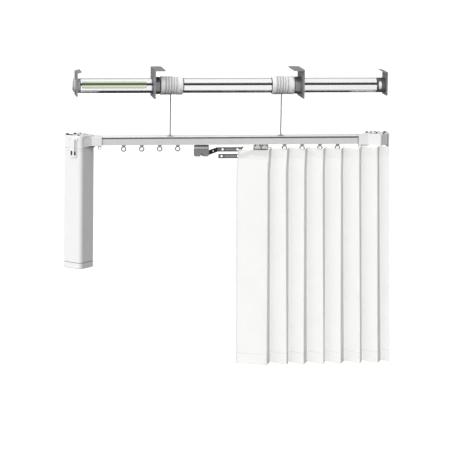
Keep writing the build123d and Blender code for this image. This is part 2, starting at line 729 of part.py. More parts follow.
# ----------------------------------------------- idler box, right end
IDL = [(365, -19), (371, -19), (402, -33), (424, -14), (424, 14), (402, 33),
       (371, 19), (365, 19)]
with BuildPart() as idler_housing:
    with BuildSketch(Plane.XY.offset(-200.5)):
        with BuildLine():
            Polyline(*[(x, YT + y) for x, y in IDL], close=True)
        make_face()
    extrude(amount=26.0)
    fillet(idler_housing.edges().filter_by(Axis.Z)
           .filter_by(lambda e: 401 < e.center().X < 403), radius=4)
    with BuildSketch(Plane.XY.offset(-200.0)):
        with Locations(((346.5 + 372) / 2, YT)):
            Rectangle(25.5, 38)
    extrude(amount=24.0)
    with BuildSketch(Plane.XY.offset(-197.5)):
        with Locations((IX, YT)):
            Circle(16)
    extrude(amount=40, mode=Mode.SUBTRACT)
    with BuildSketch(yz(350, YT, -185)):
        Rectangle(28, 11)
    extrude(amount=46, mode=Mode.SUBTRACT)
    with BuildSketch(yz(RAIL_X1, YT, -188)):
        Rectangle(34.3, 20.3)
    extrude(amount=-20, mode=Mode.SUBTRACT)
    with BuildSketch(Plane.XY.offset(-200.5)):
        with Locations((IX, YT)):
            Circle(3.0)
    extrude(amount=4, mode=Mode.SUBTRACT)
save(idler_housing.part, "idler_housing")

with BuildPart() as idler_cover:
    with BuildSketch(Plane.XY.offset(-174.5)):
        with BuildLine():
            Polyline(*[(x, YT + y) for x, y in IDL[1:7]], close=True)
        make_face()
    extrude(amount=2.5)
    fillet(idler_cover.edges().filter_by(Axis.Z)
           .filter_by(lambda e: 401 < e.center().X < 403), radius=4)
    chamfer(idler_cover.faces().sort_by(Axis.Z)[-1].edges()
            .filter_by(lambda e: e.center().X < 423), length=0.7)
    with BuildSketch(Plane.XY.offset(-178.4)):
        with Locations((IX, YT)):
            Circle(6.5)
    extrude(amount=3.9)
    with BuildSketch(Plane.XY.offset(-178.4)):
        with Locations((IX, YT)):
            Circle(3.0)
    extrude(amount=4.4, mode=Mode.SUBTRACT)
    with BuildSketch(Plane.XY.offset(-173.3)):
        with Locations((376, YT), (413, YT), (401, YT - 23), (401, YT + 23)):
            Circle(2.8)
        with Locations((388, YT - 12)):
            SlotOverall(9, 3.6, rotation=-25)
        with Locations((410, YT - 10)):
            RectangleRounded(6, 4, 1)
    extrude(amount=2, mode=Mode.SUBTRACT)
    with BuildSketch(Plane.XY.offset(-175)):
        with Locations((376, YT), (413, YT), (401, YT - 23), (401, YT + 23)):
            Circle(1.3)
    extrude(amount=3, mode=Mode.SUBTRACT)
save(idler_cover.part, "idler_cover")

with BuildPart() as idler_axle:
    with BuildSketch(Plane.XY.offset(-200.5)):
        with Locations((IX, YT)):
            Circle(3.0)
    extrude(amount=26.5)
save(idler_axle.part, "idler_axle")

with BuildPart() as idler_pulley:
    with BuildSketch(Plane.XY.offset(BELT_Z - 0.3)):
        with Locations((IX, YT)):
            Circle(PITCH_R - BELT_T / 2 - 0.3)
    extrude(amount=BELT_H + 0.6)
    with BuildSketch(Plane.XY.offset(BELT_Z - 1.1)):
        with Locations((IX, YT)):
            Circle(12.5)
    extrude(amount=0.8)
    with BuildSketch(Plane.XY.offset(BELT_Z + BELT_H + 0.3)):
        with Locations((IX, YT)):
            Circle(12.5)
    extrude(amount=0.8)
    with BuildSketch(Plane.XY.offset(BELT_Z - 2)):
        with Locations((IX, YT)):
            Circle(3.07)
            with PolarLocations(6.6, 6):
                Circle(1.7)
    extrude(amount=12, mode=Mode.SUBTRACT)
save(idler_pulley.part, "idler_pulley")

# End flange with four screw holes.
with BuildPart() as end_flange:
    with BuildSketch(yz(424, YT, -188.5)):
        RectangleRounded(38, 36, 3)
        with GridLocations(28, 25, 2, 2):
            Circle(2.2, mode=Mode.SUBTRACT)
    extrude(amount=3)
save(end_flange.part, "end_flange")

# Cover and adapter screws.
with BuildPart() as housing_screws:
    for cx, cy in ((-404, YT), (-349, YT), (MX, YT - 27), (MX, YT + 27)):
        with BuildSketch(Plane.XY.offset(BOX_TOP - 1.3)):
            with Locations((cx, cy)):
                Circle(2.5)
        extrude(amount=0.9)
        with BuildSketch(Plane.XY.offset(BOX_TOP - 2.5)):
            with Locations((cx, cy)):
                Circle(1.2)
        extrude(amount=1.2)
        with BuildSketch(Plane.XY.offset(BOX_TOP - 0.9)):
            with Locations((cx, cy)):
                Rectangle(3.2, 0.7, rotation=20)
                Rectangle(0.7, 3.2, rotation=20)
        extrude(amount=1, mode=Mode.SUBTRACT)
    for cx, cy in ((376, YT), (413, YT), (401, YT - 23), (401, YT + 23)):
        with BuildSketch(Plane.XY.offset(-173.3)):
            with Locations((cx, cy)):
                Circle(2.5)
        extrude(amount=0.9)
        with BuildSketch(Plane.XY.offset(-174.5)):
            with Locations((cx, cy)):
                Circle(1.2)
        extrude(amount=1.2)
        with BuildSketch(Plane.XY.offset(-172.9)):
            with Locations((cx, cy)):
                Rectangle(3.2, 0.7, rotation=65)
                Rectangle(0.7, 3.2, rotation=65)
        extrude(amount=1, mode=Mode.SUBTRACT)
save(housing_screws.part, "housing_screws")


def eye(x, zc, r_out, r_in, half):
    """Ring that faces the front, in the rail's middle plane."""
    with BuildSketch(xz(YT + half)):
        with Locations((x, zc)):
            Circle(r_out)
            Circle(r_in, mode=Mode.SUBTRACT)
    extrude(amount=2 * half)


# Fixed end eyes under both boxes; the right one holds the cloth's end hook.
with BuildPart() as end_eyes:
    for ex in (-324.0, 354.0):
        with BuildSketch(Plane.XY.offset(-201.6)):
            with Locations((ex, YT)):
                RectangleRounded(10, 8, 2)
        extrude(amount=1.6)
        with BuildSketch(xz(YT + 1.4)):
            with Locations((ex, -206.2)):
                Circle(4.9)
            with BuildLine():
                Polyline((ex - 4.6, -201.6), (ex + 4.6, -201.6), (ex + 2.4, -206),
                         (ex - 2.4, -206), close=True)
            make_face()
        extrude(amount=2.8)
        with BuildSketch(xz(YT + 2)):
            with Locations((ex, -206.8)):
                Circle(2.7)
        extrude(amount=4, mode=Mode.SUBTRACT)
save(end_eyes.part, "end_eyes")

# --------------------------------------------------- gliders and carriers


def glider(x, name, hook):
    """Glider: runner inside the rail, stem through the slot, collar and eye.
    A glider that carries cloth has a wire hook in its eye."""
    with BuildPart() as g:
        with BuildSketch(Plane.XY.offset(-196.2)):
            with Locations((x, YT)):
                RectangleRounded(11, 13, 2.5)
        extrude(amount=4.6)
        with BuildSketch(Plane.XY.offset(-204.5)):
            with Locations((x, YT)):
                Rectangle(4.6, 4.6)
        extrude(amount=9)
        with BuildSketch(xz(YT + 3.6)):
            with BuildLine():
                Polyline((x - 6.2, -199.0), (x + 6.2, -199.0), (x + 5.6, -200.4),
                         (x + 2.6, -203.6), (x - 2.6, -203.6), (x - 5.6, -200.4),
                         close=True)
            make_face()
        extrude(amount=7.2)
        with BuildSketch(xz(YT + 1.7)):
            with Locations((x, EYE_Z)):
                Circle(7.0)
        extrude(amount=3.4)
        with BuildSketch(xz(YT + 6)):
            with Locations((x, EYE_Z)):
                Circle(4.3)
        extrude(amount=12, mode=Mode.SUBTRACT)
        if hook:
            zl = EYE_Z - 3.45
            with BuildLine() as wire:
                FilletPolyline((x, YT + 3.4, zl + 5.0), (x, YT + 3.4, zl),
                               (x, YT - 2.8, zl), (x + 11.5, YT - 5.5, zl),
                               (x + 11.5, YT - 5.5, zl - 13), radius=1.2)
            with BuildSketch(Plane(origin=(x, YT + 3.4, zl + 5.0), x_dir=(1, 0, 0),
                                   z_dir=(0, 0, -1))):
                Circle(0.7)
            sweep(path=wire.wires()[0])
    save(g.part, name)
    return g


for i, gx in enumerate(GLIDERS):
    glider(XC - gx, f"glider_left_{i + 1}", False)
    glider(XC + gx, f"glider_right_{i + 1}", True)


def carriage(xc, clamp_side, name, hook):
    """Master carrier: runner and belt clamp inside the rail, neck through the
    slot, and a two-lobed block below with a row of teeth on top."""
    s = clamp_side
    with BuildPart() as c:
        with BuildSketch(Plane.XY.offset(-196.2)):
            with Locations((xc, YT)):
                RectangleRounded(34, 17, 3)
        extrude(amount=5.2)
        with BuildSketch(yz(xc - 7, YT, 0)):
            with BuildLine():
                Polyline((s * 7.5, -194.0), (s * 13.6, -191.0), (s * 13.6, -180.2),
                         (s * 12.6, -180.2), (s * 12.6, -188.9), (s * 10.4, -188.9),
                         (s * 10.4, -180.2), (s * 9.0, -180.2), (s * 9.0, -189.8),
                         (s * 7.5, -191.0), close=True)
            make_face()
        extrude(amount=14)
        with BuildSketch(Plane.XY.offset(-203)):
            with Locations((xc, YT)):
                Rectangle(30, 6)
        extrude(amount=8)
        with BuildSketch(xz(YT + 3.6)):
            with Locations((xc, -207.5)):
                Rectangle(37.6, 12)
        extrude(amount=7.2)
        with BuildSketch(xz(YT + 4.5)):
            with Locations((xc, -216.5)):
                Rectangle(38, 11)
            with Locations((xc - 9.6, -221.4), (xc + 9.6, -221.4)):
                RectangleRounded(18.6, 17.2, 3.8)
        extrude(amount=9)
        with BuildSketch(xz(YT - 1.2)):
            with Locations((xc - 15.5, -200.9), (xc - 7.8, -200.9), (xc, -200.9),
                           (xc + 7.8, -200.9), (xc + 15.5, -200.9)):
                Rectangle(4.2, 4.4)
        extrude(amount=4, mode=Mode.SUBTRACT)
        with BuildSketch(xz(YT + 6)):
            with Locations((xc, -225.8)):
                SlotOverall(8, 3.4, rotation=60)
        extrude(amount=12, mode=Mode.SUBTRACT)
        if hook:
            with BuildLine() as wire:
                FilletPolyline((xc + 17, YT - 1.2, -208.0), (xc + 19.5, YT - 1.2, -208.0),
                               (xc + 22.0, YT - 5.5, -208.0), (xc + 26.0, YT - 5.5, -208.0),
                               (xc + 26.0, YT - 5.5, -226.0), radius=1.3)
            with BuildSketch(Plane(origin=(xc + 17, YT - 1.2, -208.0), x_dir=(0, 1, 0),
                                   z_dir=(1, 0, 0))):
                Circle(0.7)
            sweep(path=wire.wires()[0])
    save(c.part, name)
    return c


carriage(XC - CARRIAGE, -1, "carriage_left", False)
carriage(XC + CARRIAGE, 1, "carriage_right", True)

# Overlap arms: steel strips that let the two cloths meet.
with BuildPart() as overlap_arm_left:
    with BuildSketch(xz(YT + 6.5)):
        with BuildLine():
            Polyline((-74, -216.4), (-44, -216.4), (-20, -207.8), (44.5, -207.8),
                     (48.5, -205.4), (48.5, -208.6), (45.5, -211), (44.5, -219.0),
                     (-18, -219.0), (-42, -227.6), (-74, -227.6), close=True)
        make_face()
        with Locations((-5.6, -213.4), (33, -213.4)):
            Circle(2.9, mode=Mode.SUBTRACT)
        with Locations((-30, -217.6)):
            Circle(1.6, mode=Mode.SUBTRACT)
    extrude(amount=2.0)
save(overlap_arm_left.part, "overlap_arm_left")

with BuildPart() as overlap_arm_right:
    with BuildSketch(xz(YT - 4.5)):
        with BuildLine():
            Polyline((-18, -223.6), (44, -223.6), (74, -212.0), (106, -212.0),
                     (106, -223.2), (76, -223.2), (46, -234.8), (-18, -234.8),
                     close=True)
        make_face()
        with Locations((-9.6, -229.2), (33, -229.2)):
            Circle(2.9, mode=Mode.SUBTRACT)
        with Locations((60, -223.4)):
            Circle(1.6, mode=Mode.SUBTRACT)
    extrude(amount=2.0)
save(overlap_arm_right.part, "overlap_arm_right")

# ----------------------------------------------------------------- cloth
# Pleated cloth: wide panels face the front left, short returns face right.
FOLDS = [(31, -18), (107, -44), (120, -8)]
while FOLDS[-1][0] < 350:
    fx = FOLDS[-1][0]
    FOLDS += [(fx + 34, -44), (fx + 47.3, -8)]
END_FOLDS = [FOLDS[-1], (FOLDS[-1][0] + 34, -44), (FOLDS[-1][0] + 47.3, -8), (424.5, -30)]


def cloth(points, name):
    with BuildPart() as c:
        with BuildSketch(Plane.XY.offset(CLOTH_BOT)):
            with BuildLine():
                Polyline(*[(x, YT + y + 1.0) for x, y in points],
                         *[(x, YT + y - 1.0) for x, y in reversed(points)], close=True)
            make_face()
        extrude(amount=CLOTH_TOP - CLOTH_BOT)
    save(c.part, name)
    return c


cloth(FOLDS, "curtain_cloth")
cloth(END_FOLDS, "curtain_return")
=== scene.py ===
import bpy
import bmesh
import json
import math
import numpy as np
from mathutils import Vector, Matrix


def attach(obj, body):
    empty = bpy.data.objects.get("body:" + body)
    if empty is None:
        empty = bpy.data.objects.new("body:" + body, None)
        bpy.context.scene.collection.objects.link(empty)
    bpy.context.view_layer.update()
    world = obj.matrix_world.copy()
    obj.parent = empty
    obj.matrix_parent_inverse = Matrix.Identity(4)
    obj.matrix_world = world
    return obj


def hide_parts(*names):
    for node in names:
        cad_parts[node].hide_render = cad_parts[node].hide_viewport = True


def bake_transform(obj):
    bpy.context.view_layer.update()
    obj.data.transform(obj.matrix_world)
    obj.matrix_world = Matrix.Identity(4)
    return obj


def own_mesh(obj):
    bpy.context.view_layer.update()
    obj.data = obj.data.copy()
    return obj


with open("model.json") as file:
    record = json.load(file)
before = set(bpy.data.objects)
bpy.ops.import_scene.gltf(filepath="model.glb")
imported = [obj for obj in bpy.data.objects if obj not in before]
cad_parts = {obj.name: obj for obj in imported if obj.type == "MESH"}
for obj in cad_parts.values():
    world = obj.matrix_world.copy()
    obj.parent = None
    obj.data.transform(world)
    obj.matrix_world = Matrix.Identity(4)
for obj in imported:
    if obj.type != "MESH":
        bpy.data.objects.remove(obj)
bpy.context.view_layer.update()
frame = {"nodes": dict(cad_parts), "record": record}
nodes = frame["nodes"]
MM = 0.001

# Sizes in millimetres, in the row frame.
AX = -44.0
YT = 22.9
DRUM_X = (-173.0, 114.5)
PITCH = 7.0
DROP_AT = 30.0
CABLE_R = 0.9
HANG_R = 1.4      # the free cable is drawn thicker than the stored turns, with a thin neck where they meet
CLOTH_TOP, CLOTH_BOT = -204.0, -774.0

# ------------------------------------------------------------------ materials
made = {}


def new_material(name):
    m = bpy.data.materials.new(name)
    m.use_nodes = True
    nt = m.node_tree
    nt.nodes.clear()
    out = nt.nodes.new("ShaderNodeOutputMaterial")
    sh = nt.nodes.new("ShaderNodeBsdfPrincipled")
    nt.links.new(sh.outputs["BSDF"], out.inputs["Surface"])
    made[name] = m
    return m, nt, sh


def coords(nt, scale=(1, 1, 1), uv=False, turn=(0, 0, 0)):
    tc = nt.nodes.new("ShaderNodeTexCoord")
    mp = nt.nodes.new("ShaderNodeMapping")
    mp.inputs["Scale"].default_value = scale
    mp.inputs["Rotation"].default_value = turn
    nt.links.new(tc.outputs["UV" if uv else "Object"], mp.inputs["Vector"])
    return mp.outputs["Vector"]


def noise(nt, vec, scale, detail=3.0, rough=0.55, distortion=0.0):
    n = nt.nodes.new("ShaderNodeTexNoise")
    n.inputs["Scale"].default_value = scale
    n.inputs["Detail"].default_value = detail
    n.inputs["Roughness"].default_value = rough
    n.inputs["Distortion"].default_value = distortion
    nt.links.new(vec, n.inputs["Vector"])
    return n.outputs["Fac"]


def ramp(nt, value, stops):
    r = nt.nodes.new("ShaderNodeValToRGB")
    e = r.color_ramp.elements
    e[0].position, e[0].color = stops[0][0], (*stops[0][1], 1)
    e[1].position, e[1].color = stops[-1][0], (*stops[-1][1], 1)
    for p, c in stops[1:-1]:
        x = e.new(p)
        x.color = (*c, 1)
    nt.links.new(value, r.inputs["Fac"])
    return r.outputs["Color"]


def spread(nt, value, a, b, lo=0.25, hi=0.75):
    r = nt.nodes.new("ShaderNodeMapRange")
    r.inputs["From Min"].default_value = lo
    r.inputs["From Max"].default_value = hi
    r.inputs["To Min"].default_value = a
    r.inputs["To Max"].default_value = b
    nt.links.new(value, r.inputs["Value"])
    return r.outputs["Result"]


def mix_colour(nt, fac, a, b, blend="MIX"):
    m = nt.nodes.new("ShaderNodeMix")
    m.data_type = "RGBA"
    m.blend_type = blend
    for sock, val in ((m.inputs["Factor"], fac), (m.inputs["A"], a), (m.inputs["B"], b)):
        pass
    f = [s for s in m.inputs if s.name == "Factor" and s.type == "VALUE"][0]
    ca = [s for s in m.inputs if s.name == "A" and s.type == "RGBA"][0]
    cb = [s for s in m.inputs if s.name == "B" and s.type == "RGBA"][0]
    for s, v in ((f, fac), (ca, a), (cb, b)):
        if isinstance(v, bpy.types.NodeSocket):
            nt.links.new(v, s)
        elif isinstance(v, (int, float)):
            s.default_value = v
        else:
            s.default_value = (*v, 1)
    return [s for s in m.outputs if s.type == "RGBA"][0]


def add_bump(nt, sh, height, strength, distance, before=None):
    b = nt.nodes.new("ShaderNodeBump")
    b.inputs["Strength"].default_value = strength
    b.inputs["Distance"].default_value = distance
    nt.links.new(height, b.inputs["Height"])
    if before is not None:
        nt.links.new(before, b.inputs["Normal"])
    nt.links.new(b.outputs["Normal"], sh.inputs["Normal"])
    return b.outputs["Normal"]


def painted_crevice_shade(nt, colour, dark, distance, amount, lo=0.35, hi=0.85):
    """Painted shade: colour darkened by ambient occlusion in seams and grooves."""
    ao = nt.nodes.new("ShaderNodeAmbientOcclusion")
    ao.samples = 6
    ao.inputs["Distance"].default_value = distance
    f = spread(nt, ao.outputs["AO"], amount, 0.0, lo, hi)
    return mix_colour(nt, f, colour, dark)


def shade(c, k):
    return tuple(min(1.0, x * k) for x in c)


def plastic(name, base, rough=0.42, grain=0.04, var=0.025, grain_scale=2600.0,
            dark=None, groove=0.45, coat=0.0, spec=0.5, reach=0.0028, seam=(0.35, 0.85)):
    m, nt, sh = new_material(name)
    v = coords(nt)
    cloud = noise(nt, v, 34.0, 3.0)
    fine = noise(nt, v, grain_scale, 2.0, 0.6)
    scuff = noise(nt, coords(nt, (1.0, 1.0, 6.0), turn=(0.3, 0.5, 0.2)), 210.0, 5.0, 0.7)
    c = ramp(nt, cloud, [(0.3, shade(base, 1 - var)), (0.7, shade(base, 1 + var * 0.6))])
    c = mix_colour(nt, spread(nt, scuff, 0.0, 0.10, 0.62, 0.78), c, shade(base, 0.8))
    # painted shade in seams and grooves
    c = painted_crevice_shade(nt, c, dark or shade(base, 0.35), reach, groove, *seam)
    nt.links.new(c, sh.inputs["Base Color"])
    nt.links.new(spread(nt, scuff, rough - 0.05, rough + 0.12, 0.35, 0.8), sh.inputs["Roughness"])
    sh.inputs["Specular IOR Level"].default_value = spec
    sh.inputs["Coat Weight"].default_value = coat
    add_bump(nt, sh, fine, grain, 0.00006)
    return m


def metal(name, base, rough=0.35, metallic=1.0, lines=(6.0, 900.0, 900.0), line_amount=0.05,
          var=0.05, dark=None, groove=0.4, scratch=0.06, spec=0.5, reach=0.002, seam=(0.35, 0.85)):
    m, nt, sh = new_material(name)
    v = coords(nt)
    cloud = noise(nt, v, 42.0, 4.0)
    drawn = noise(nt, coords(nt, lines), 1.0, 4.0, 0.65)
    marks = noise(nt, coords(nt, (900.0, 60.0, 140.0), turn=(0.4, 0.2, 0.9)), 1.0, 3.0, 0.6)
    c = ramp(nt, cloud, [(0.25, shade(base, 1 - var)), (0.75, shade(base, 1 + var))])
    c = mix_colour(nt, spread(nt, drawn, 0.0, line_amount * 4, 0.5, 0.75), c, shade(base, 0.7))
    c = mix_colour(nt, spread(nt, marks, 0.0, scratch * 2, 0.66, 0.76), c, shade(base, 1.25))
    # painted shade in seams and grooves
    c = painted_crevice_shade(nt, c, dark or shade(base, 0.3), reach, groove, *seam)
    nt.links.new(c, sh.inputs["Base Color"])
    nt.links.new(spread(nt, drawn, rough - 0.06, rough + 0.1, 0.3, 0.7), sh.inputs["Roughness"])
    sh.inputs["Metallic"].default_value = metallic
    sh.inputs["Specular IOR Level"].default_value = spec
    add_bump(nt, sh, drawn, 0.10, 0.00003)
    return m


def galvanised(name, base):
    """Sheet steel with a soft zinc spangle, drawn edges and light scuffs."""
    m, nt, sh = new_material(name)
    v = coords(nt)
    cell = nt.nodes.new("ShaderNodeTexVoronoi")
    cell.inputs["Scale"].default_value = 210.0
    warp = noise(nt, v, 60.0, 3.0)
    vm = nt.nodes.new("ShaderNodeVectorMath")
    vm.operation = "MULTIPLY_ADD"
    comb = nt.nodes.new("ShaderNodeCombineXYZ")
    for i in range(3):
        nt.links.new(warp, comb.inputs[i])
    nt.links.new(comb.outputs[0], vm.inputs[0])
    vm.inputs[1].default_value = (0.004, 0.004, 0.004)
    nt.links.new(v, vm.inputs[2])
    nt.links.new(vm.outputs[0], cell.inputs["Vector"])
    grey = nt.nodes.new("ShaderNodeRGBToBW")
    nt.links.new(cell.outputs["Color"], grey.inputs["Color"])
    c = ramp(nt, grey.outputs["Val"], [(0.1, shade(base, 0.90)), (0.9, shade(base, 1.09))])
    cloud = noise(nt, v, 26.0, 4.0)
    c = mix_colour(nt, spread(nt, cloud, 0.0, 0.22, 0.35, 0.7), c, shade(base, 0.84))
    # painted shade in seams and grooves
    c = painted_crevice_shade(nt, c, shade(base, 0.3), 0.004, 0.55)
    nt.links.new(c, sh.inputs["Base Color"])
    nt.links.new(spread(nt, grey.outputs["Val"], 0.42, 0.58, 0.0, 1.0), sh.inputs["Roughness"])
    sh.inputs["Metallic"].default_value = 0.55
    add_bump(nt, sh, noise(nt, v, 1500.0, 2.0), 0.06, 0.00005)
    return m


def rubber(name, base):
    m, nt, sh = new_material(name)
    v = coords(nt)
    c = ramp(nt, noise(nt, v, 60.0, 4.0), [(0.3, shade(base, 0.8)), (0.7, shade(base, 1.5))])
    nt.links.new(c, sh.inputs["Base Color"])
    nt.links.new(spread(nt, noise(nt, v, 400.0, 3.0), 0.6, 0.82), sh.inputs["Roughness"])
    add_bump(nt, sh, noise(nt, v, 3000.0, 2.0), 0.15, 0.00008)
    return m


def film(name, base, over):
    """Pale green film with faint wrinkles. Painted shade: it is dark where it spans the keyway and a little darker
    towards its upper edge; a grey line runs near its lower edge. The UVs are in metres.
    """
    m, nt, sh = new_material(name)
    w = noise(nt, coords(nt, (30.0, 200.0, 200.0)), 1.0, 3.0)
    sep = nt.nodes.new("ShaderNodeSeparateXYZ")
    nt.links.new(coords(nt, (1, 1, 1), uv=True), sep.inputs[0])
    c = ramp(nt, w, [(0.3, shade(base, 0.96)), (0.7, shade(base, 1.04))])
    # mask of the painted shade: dark across the keyway, a little darker towards the upper edge, and a grey line near
    # the lower edge
    shadow = ramp(nt, spread(nt, sep.outputs[1], 0.0, 1.0, 0.0, 0.01791),
                  [(0.0, (0.80, 0.80, 0.80)), (0.17, (0.66, 0.66, 0.66)), (0.27, (0.0, 0.0, 0.0)), (0.53, (0.0, 0.0, 0.0)),
                   (0.60, (1, 1, 1)), (0.84, (1, 1, 1)), (0.885, (0.42, 0.42, 0.42)), (0.93, (1, 1, 1)), (1.0, (1, 1, 1))])
    c = mix_colour(nt, shadow, over, c)
    nt.links.new(c, sh.inputs["Base Color"])
    nt.links.new(spread(nt, w, 0.24, 0.4), sh.inputs["Roughness"])
    add_bump(nt, sh, w, 0.12, 0.0002)
    return m


def board(name):
    m, nt, sh = new_material(name)
    v = coords(nt, (1, 1, 1))
    br = nt.nodes.new("ShaderNodeTexBrick")
    br.inputs["Scale"].default_value = 240.0
    br.inputs["Mortar Size"].default_value = 0.03
    br.inputs["Color1"].default_value = (0.03, 0.19, 0.08, 1)
    br.inputs["Color2"].default_value = (0.04, 0.24, 0.10, 1)
    br.inputs["Mortar"].default_value = (0.30, 0.24, 0.08, 1)
    nt.links.new(v, br.inputs["Vector"])
    nt.links.new(br.outputs["Color"], sh.inputs["Base Color"])
    sh.inputs["Roughness"].default_value = 0.4
    add_bump(nt, sh, br.outputs["Fac"], 0.3, 0.0001)
    return m


def cloth_material(name, base, alpha, stitches=True, painted_glow=0.47, body=0.58):
    """Plain weave: warp and weft threads with slubs, seen in the UVs, which are in metres."""
    m, nt, sh = new_material(name)
    uv = coords(nt, (1, 1, 1), uv=True)
    sep = nt.nodes.new("ShaderNodeSeparateXYZ")
    nt.links.new(uv, sep.inputs[0])

    def math_node(op, a, b=None):
        n = nt.nodes.new("ShaderNodeMath")
        n.operation = op
        for i, x in enumerate((a, b)):
            if x is None:
                continue
            if isinstance(x, bpy.types.NodeSocket):
                nt.links.new(x, n.inputs[i])
            else:
                n.inputs[i].default_value = x
        return n.outputs[0]

    K = 2 * math.pi / 0.0011          # one thread pair every 1.1 mm
    wobble = noise(nt, coords(nt, (40.0, 40.0, 1.0), uv=True), 1.0, 3.0)
    su = math_node("SINE", math_node("ADD", math_node("MULTIPLY", sep.outputs[0], K), math_node("MULTIPLY", wobble, 5.0)))
    sv = math_node("SINE", math_node("ADD", math_node("MULTIPLY", sep.outputs[1], K), math_node("MULTIPLY", wobble, 4.0)))
    weave = math_node("MULTIPLY", su, sv)
    slub_h = noise(nt, coords(nt, (60.0, 2200.0, 1.0), uv=True), 1.0, 3.0, 0.6)
    slub_v = noise(nt, coords(nt, (2200.0, 45.0, 1.0), uv=True), 1.0, 3.0, 0.6)
    cloud = noise(nt, coords(nt, (9.0, 7.0, 1.0), uv=True), 1.0, 4.0)
    c = ramp(nt, cloud, [(0.3, shade(base, 0.975)), (0.7, shade(base, 1.02))])
    c = mix_colour(nt, spread(nt, slub_h, 0.0, 0.24, 0.46, 0.8), c, shade(base, 0.84))
    c = mix_colour(nt, spread(nt, slub_v, 0.0, 0.24, 0.46, 0.8), c, shade(base, 0.85))
    c = mix_colour(nt, spread(nt, weave, 0.07, 0.0, -1.0, 1.0), c, shade(base, 0.72))
    if stitches:
        # Stitch rows: under the heading and above the bottom hem.
        v = sep.outputs[1]
        rows = None
        for depth in (0.0245, 0.5405):
            near = math_node("LESS_THAN", math_node("ABSOLUTE", math_node("SUBTRACT", v, -depth)), 0.00045)
            rows = near if rows is None else math_node("MAXIMUM", rows, near)
        dash = math_node("GREATER_THAN", math_node("SINE", math_node("MULTIPLY", sep.outputs[0], 2 * math.pi / 0.0034)), -0.35)
        c = mix_colour(nt, math_node("MULTIPLY", math_node("MULTIPLY", rows, dash), 0.42), c, shade(base, 0.62))
        # Painted shade: the doubled cloth of the hems lets less light through, so it is painted a little greyer at its
        # turned edge; a narrow strip at the start of the cloth is painted greyer too.
        edge = math_node("LESS_THAN", math_node("ABSOLUTE", math_node("SUBTRACT", v, -0.5412)), 0.0011)
        c = mix_colour(nt, math_node("MULTIPLY", edge, 0.30), c, shade(base, 0.6))
        c = mix_colour(nt, math_node("MULTIPLY", math_node("LESS_THAN", sep.outputs[0], 0.0038), 0.34), c, shade(base, 0.5))
    # painted shade in the folds
    c = painted_crevice_shade(nt, c, shade(base, 0.7), 0.006, 0.2)
    # Painted light: body scales the lit colour down, and the cloth's colour is given again as emission, so it glows
    # though it is no lamp.
    nt.links.new(mix_colour(nt, body, (0.0, 0.0, 0.0), c), sh.inputs["Base Color"])
    nt.links.new(spread(nt, slub_h, 0.72, 0.9), sh.inputs["Roughness"])
    nt.links.new(c, sh.inputs["Emission Color"])
    sh.inputs["Emission Strength"].default_value = painted_glow
    sh.inputs["Sheen Weight"].default_value = 0.18
    sh.inputs["Sheen Roughness"].default_value = 0.5
    sh.inputs["Specular IOR Level"].default_value = 0.25
    sh.inputs["Alpha"].default_value = alpha
    n1 = add_bump(nt, sh, weave, 0.35, 0.00012)
    add_bump(nt, sh, math_node("ADD", slub_h, slub_v), 0.3, 0.0002, n1)
    return m


WHITE = (0.87, 0.872, 0.875)
plastic("white_plastic", WHITE, rough=0.40, var=0.012, groove=0.55)
plastic("drum_plastic", (0.86, 0.86, 0.86), rough=0.40, var=0.012, groove=0.45, dark=(0.12, 0.12, 0.12),
        reach=0.0026, seam=(0.22, 0.66))
# Painted shade: a darker copy of the drum plastic for the grooved band, with deeper painted shade in its grooves.
plastic("drum_groove_shaded", (0.76, 0.76, 0.76), rough=0.45, var=0.012, groove=0.66, dark=(0.09, 0.09, 0.09),
        reach=0.0028, seam=(0.25, 0.78))
plastic("grey_plastic", (0.56, 0.56, 0.57), rough=0.45)
plastic("clip_grey", (0.30, 0.30, 0.31), rough=0.45)
plastic("band_grey", (0.52, 0.52, 0.52), rough=0.5, var=0.06)
plastic("comb_grey", (0.70, 0.70, 0.70), rough=0.5, var=0.06)
plastic("black_plastic", (0.016, 0.016, 0.018), rough=0.34, dark=(0.004, 0.004, 0.004), spec=0.45)
plastic("red_plastic", (0.50, 0.012, 0.010), rough=0.3, groove=0.3)
plastic("nylon", (0.56, 0.56, 0.55), rough=0.48)
plastic("eye_grey", (0.27, 0.27, 0.27), rough=0.48)
# painted shade for the groove along the rail's front upper edge
plastic("edge_shade_grey", (0.10, 0.10, 0.105), rough=0.45)
# painted highlight for the rail's lit top face
plastic("highlight_white", (0.985, 0.985, 0.985), rough=0.5, var=0.006, groove=0.2)
plastic("carrier_grey", (0.24, 0.24, 0.245), rough=0.5, groove=0.6)
galvanised("galvanised", (0.31, 0.31, 0.32))
metal("steel", (0.55, 0.55, 0.56), rough=0.32, metallic=1.0)
metal("motor_steel", (0.16, 0.16, 0.17), rough=0.42, metallic=0.8)
metal("dark_steel", (0.125, 0.125, 0.13), rough=0.46, metallic=0.55, lines=(14.0, 700.0, 700.0), groove=0.3)
# strong painted shade, nearly black, in the tube's keyway and seams
metal("tube_aluminium", (0.90, 0.905, 0.91), rough=0.17, metallic=0.93, lines=(2.0, 1500.0, 1500.0),
      line_amount=0.02, var=0.015, scratch=0.02, dark=(0.006, 0.006, 0.006), groove=1.0, reach=0.004, seam=(0.7, 0.97))
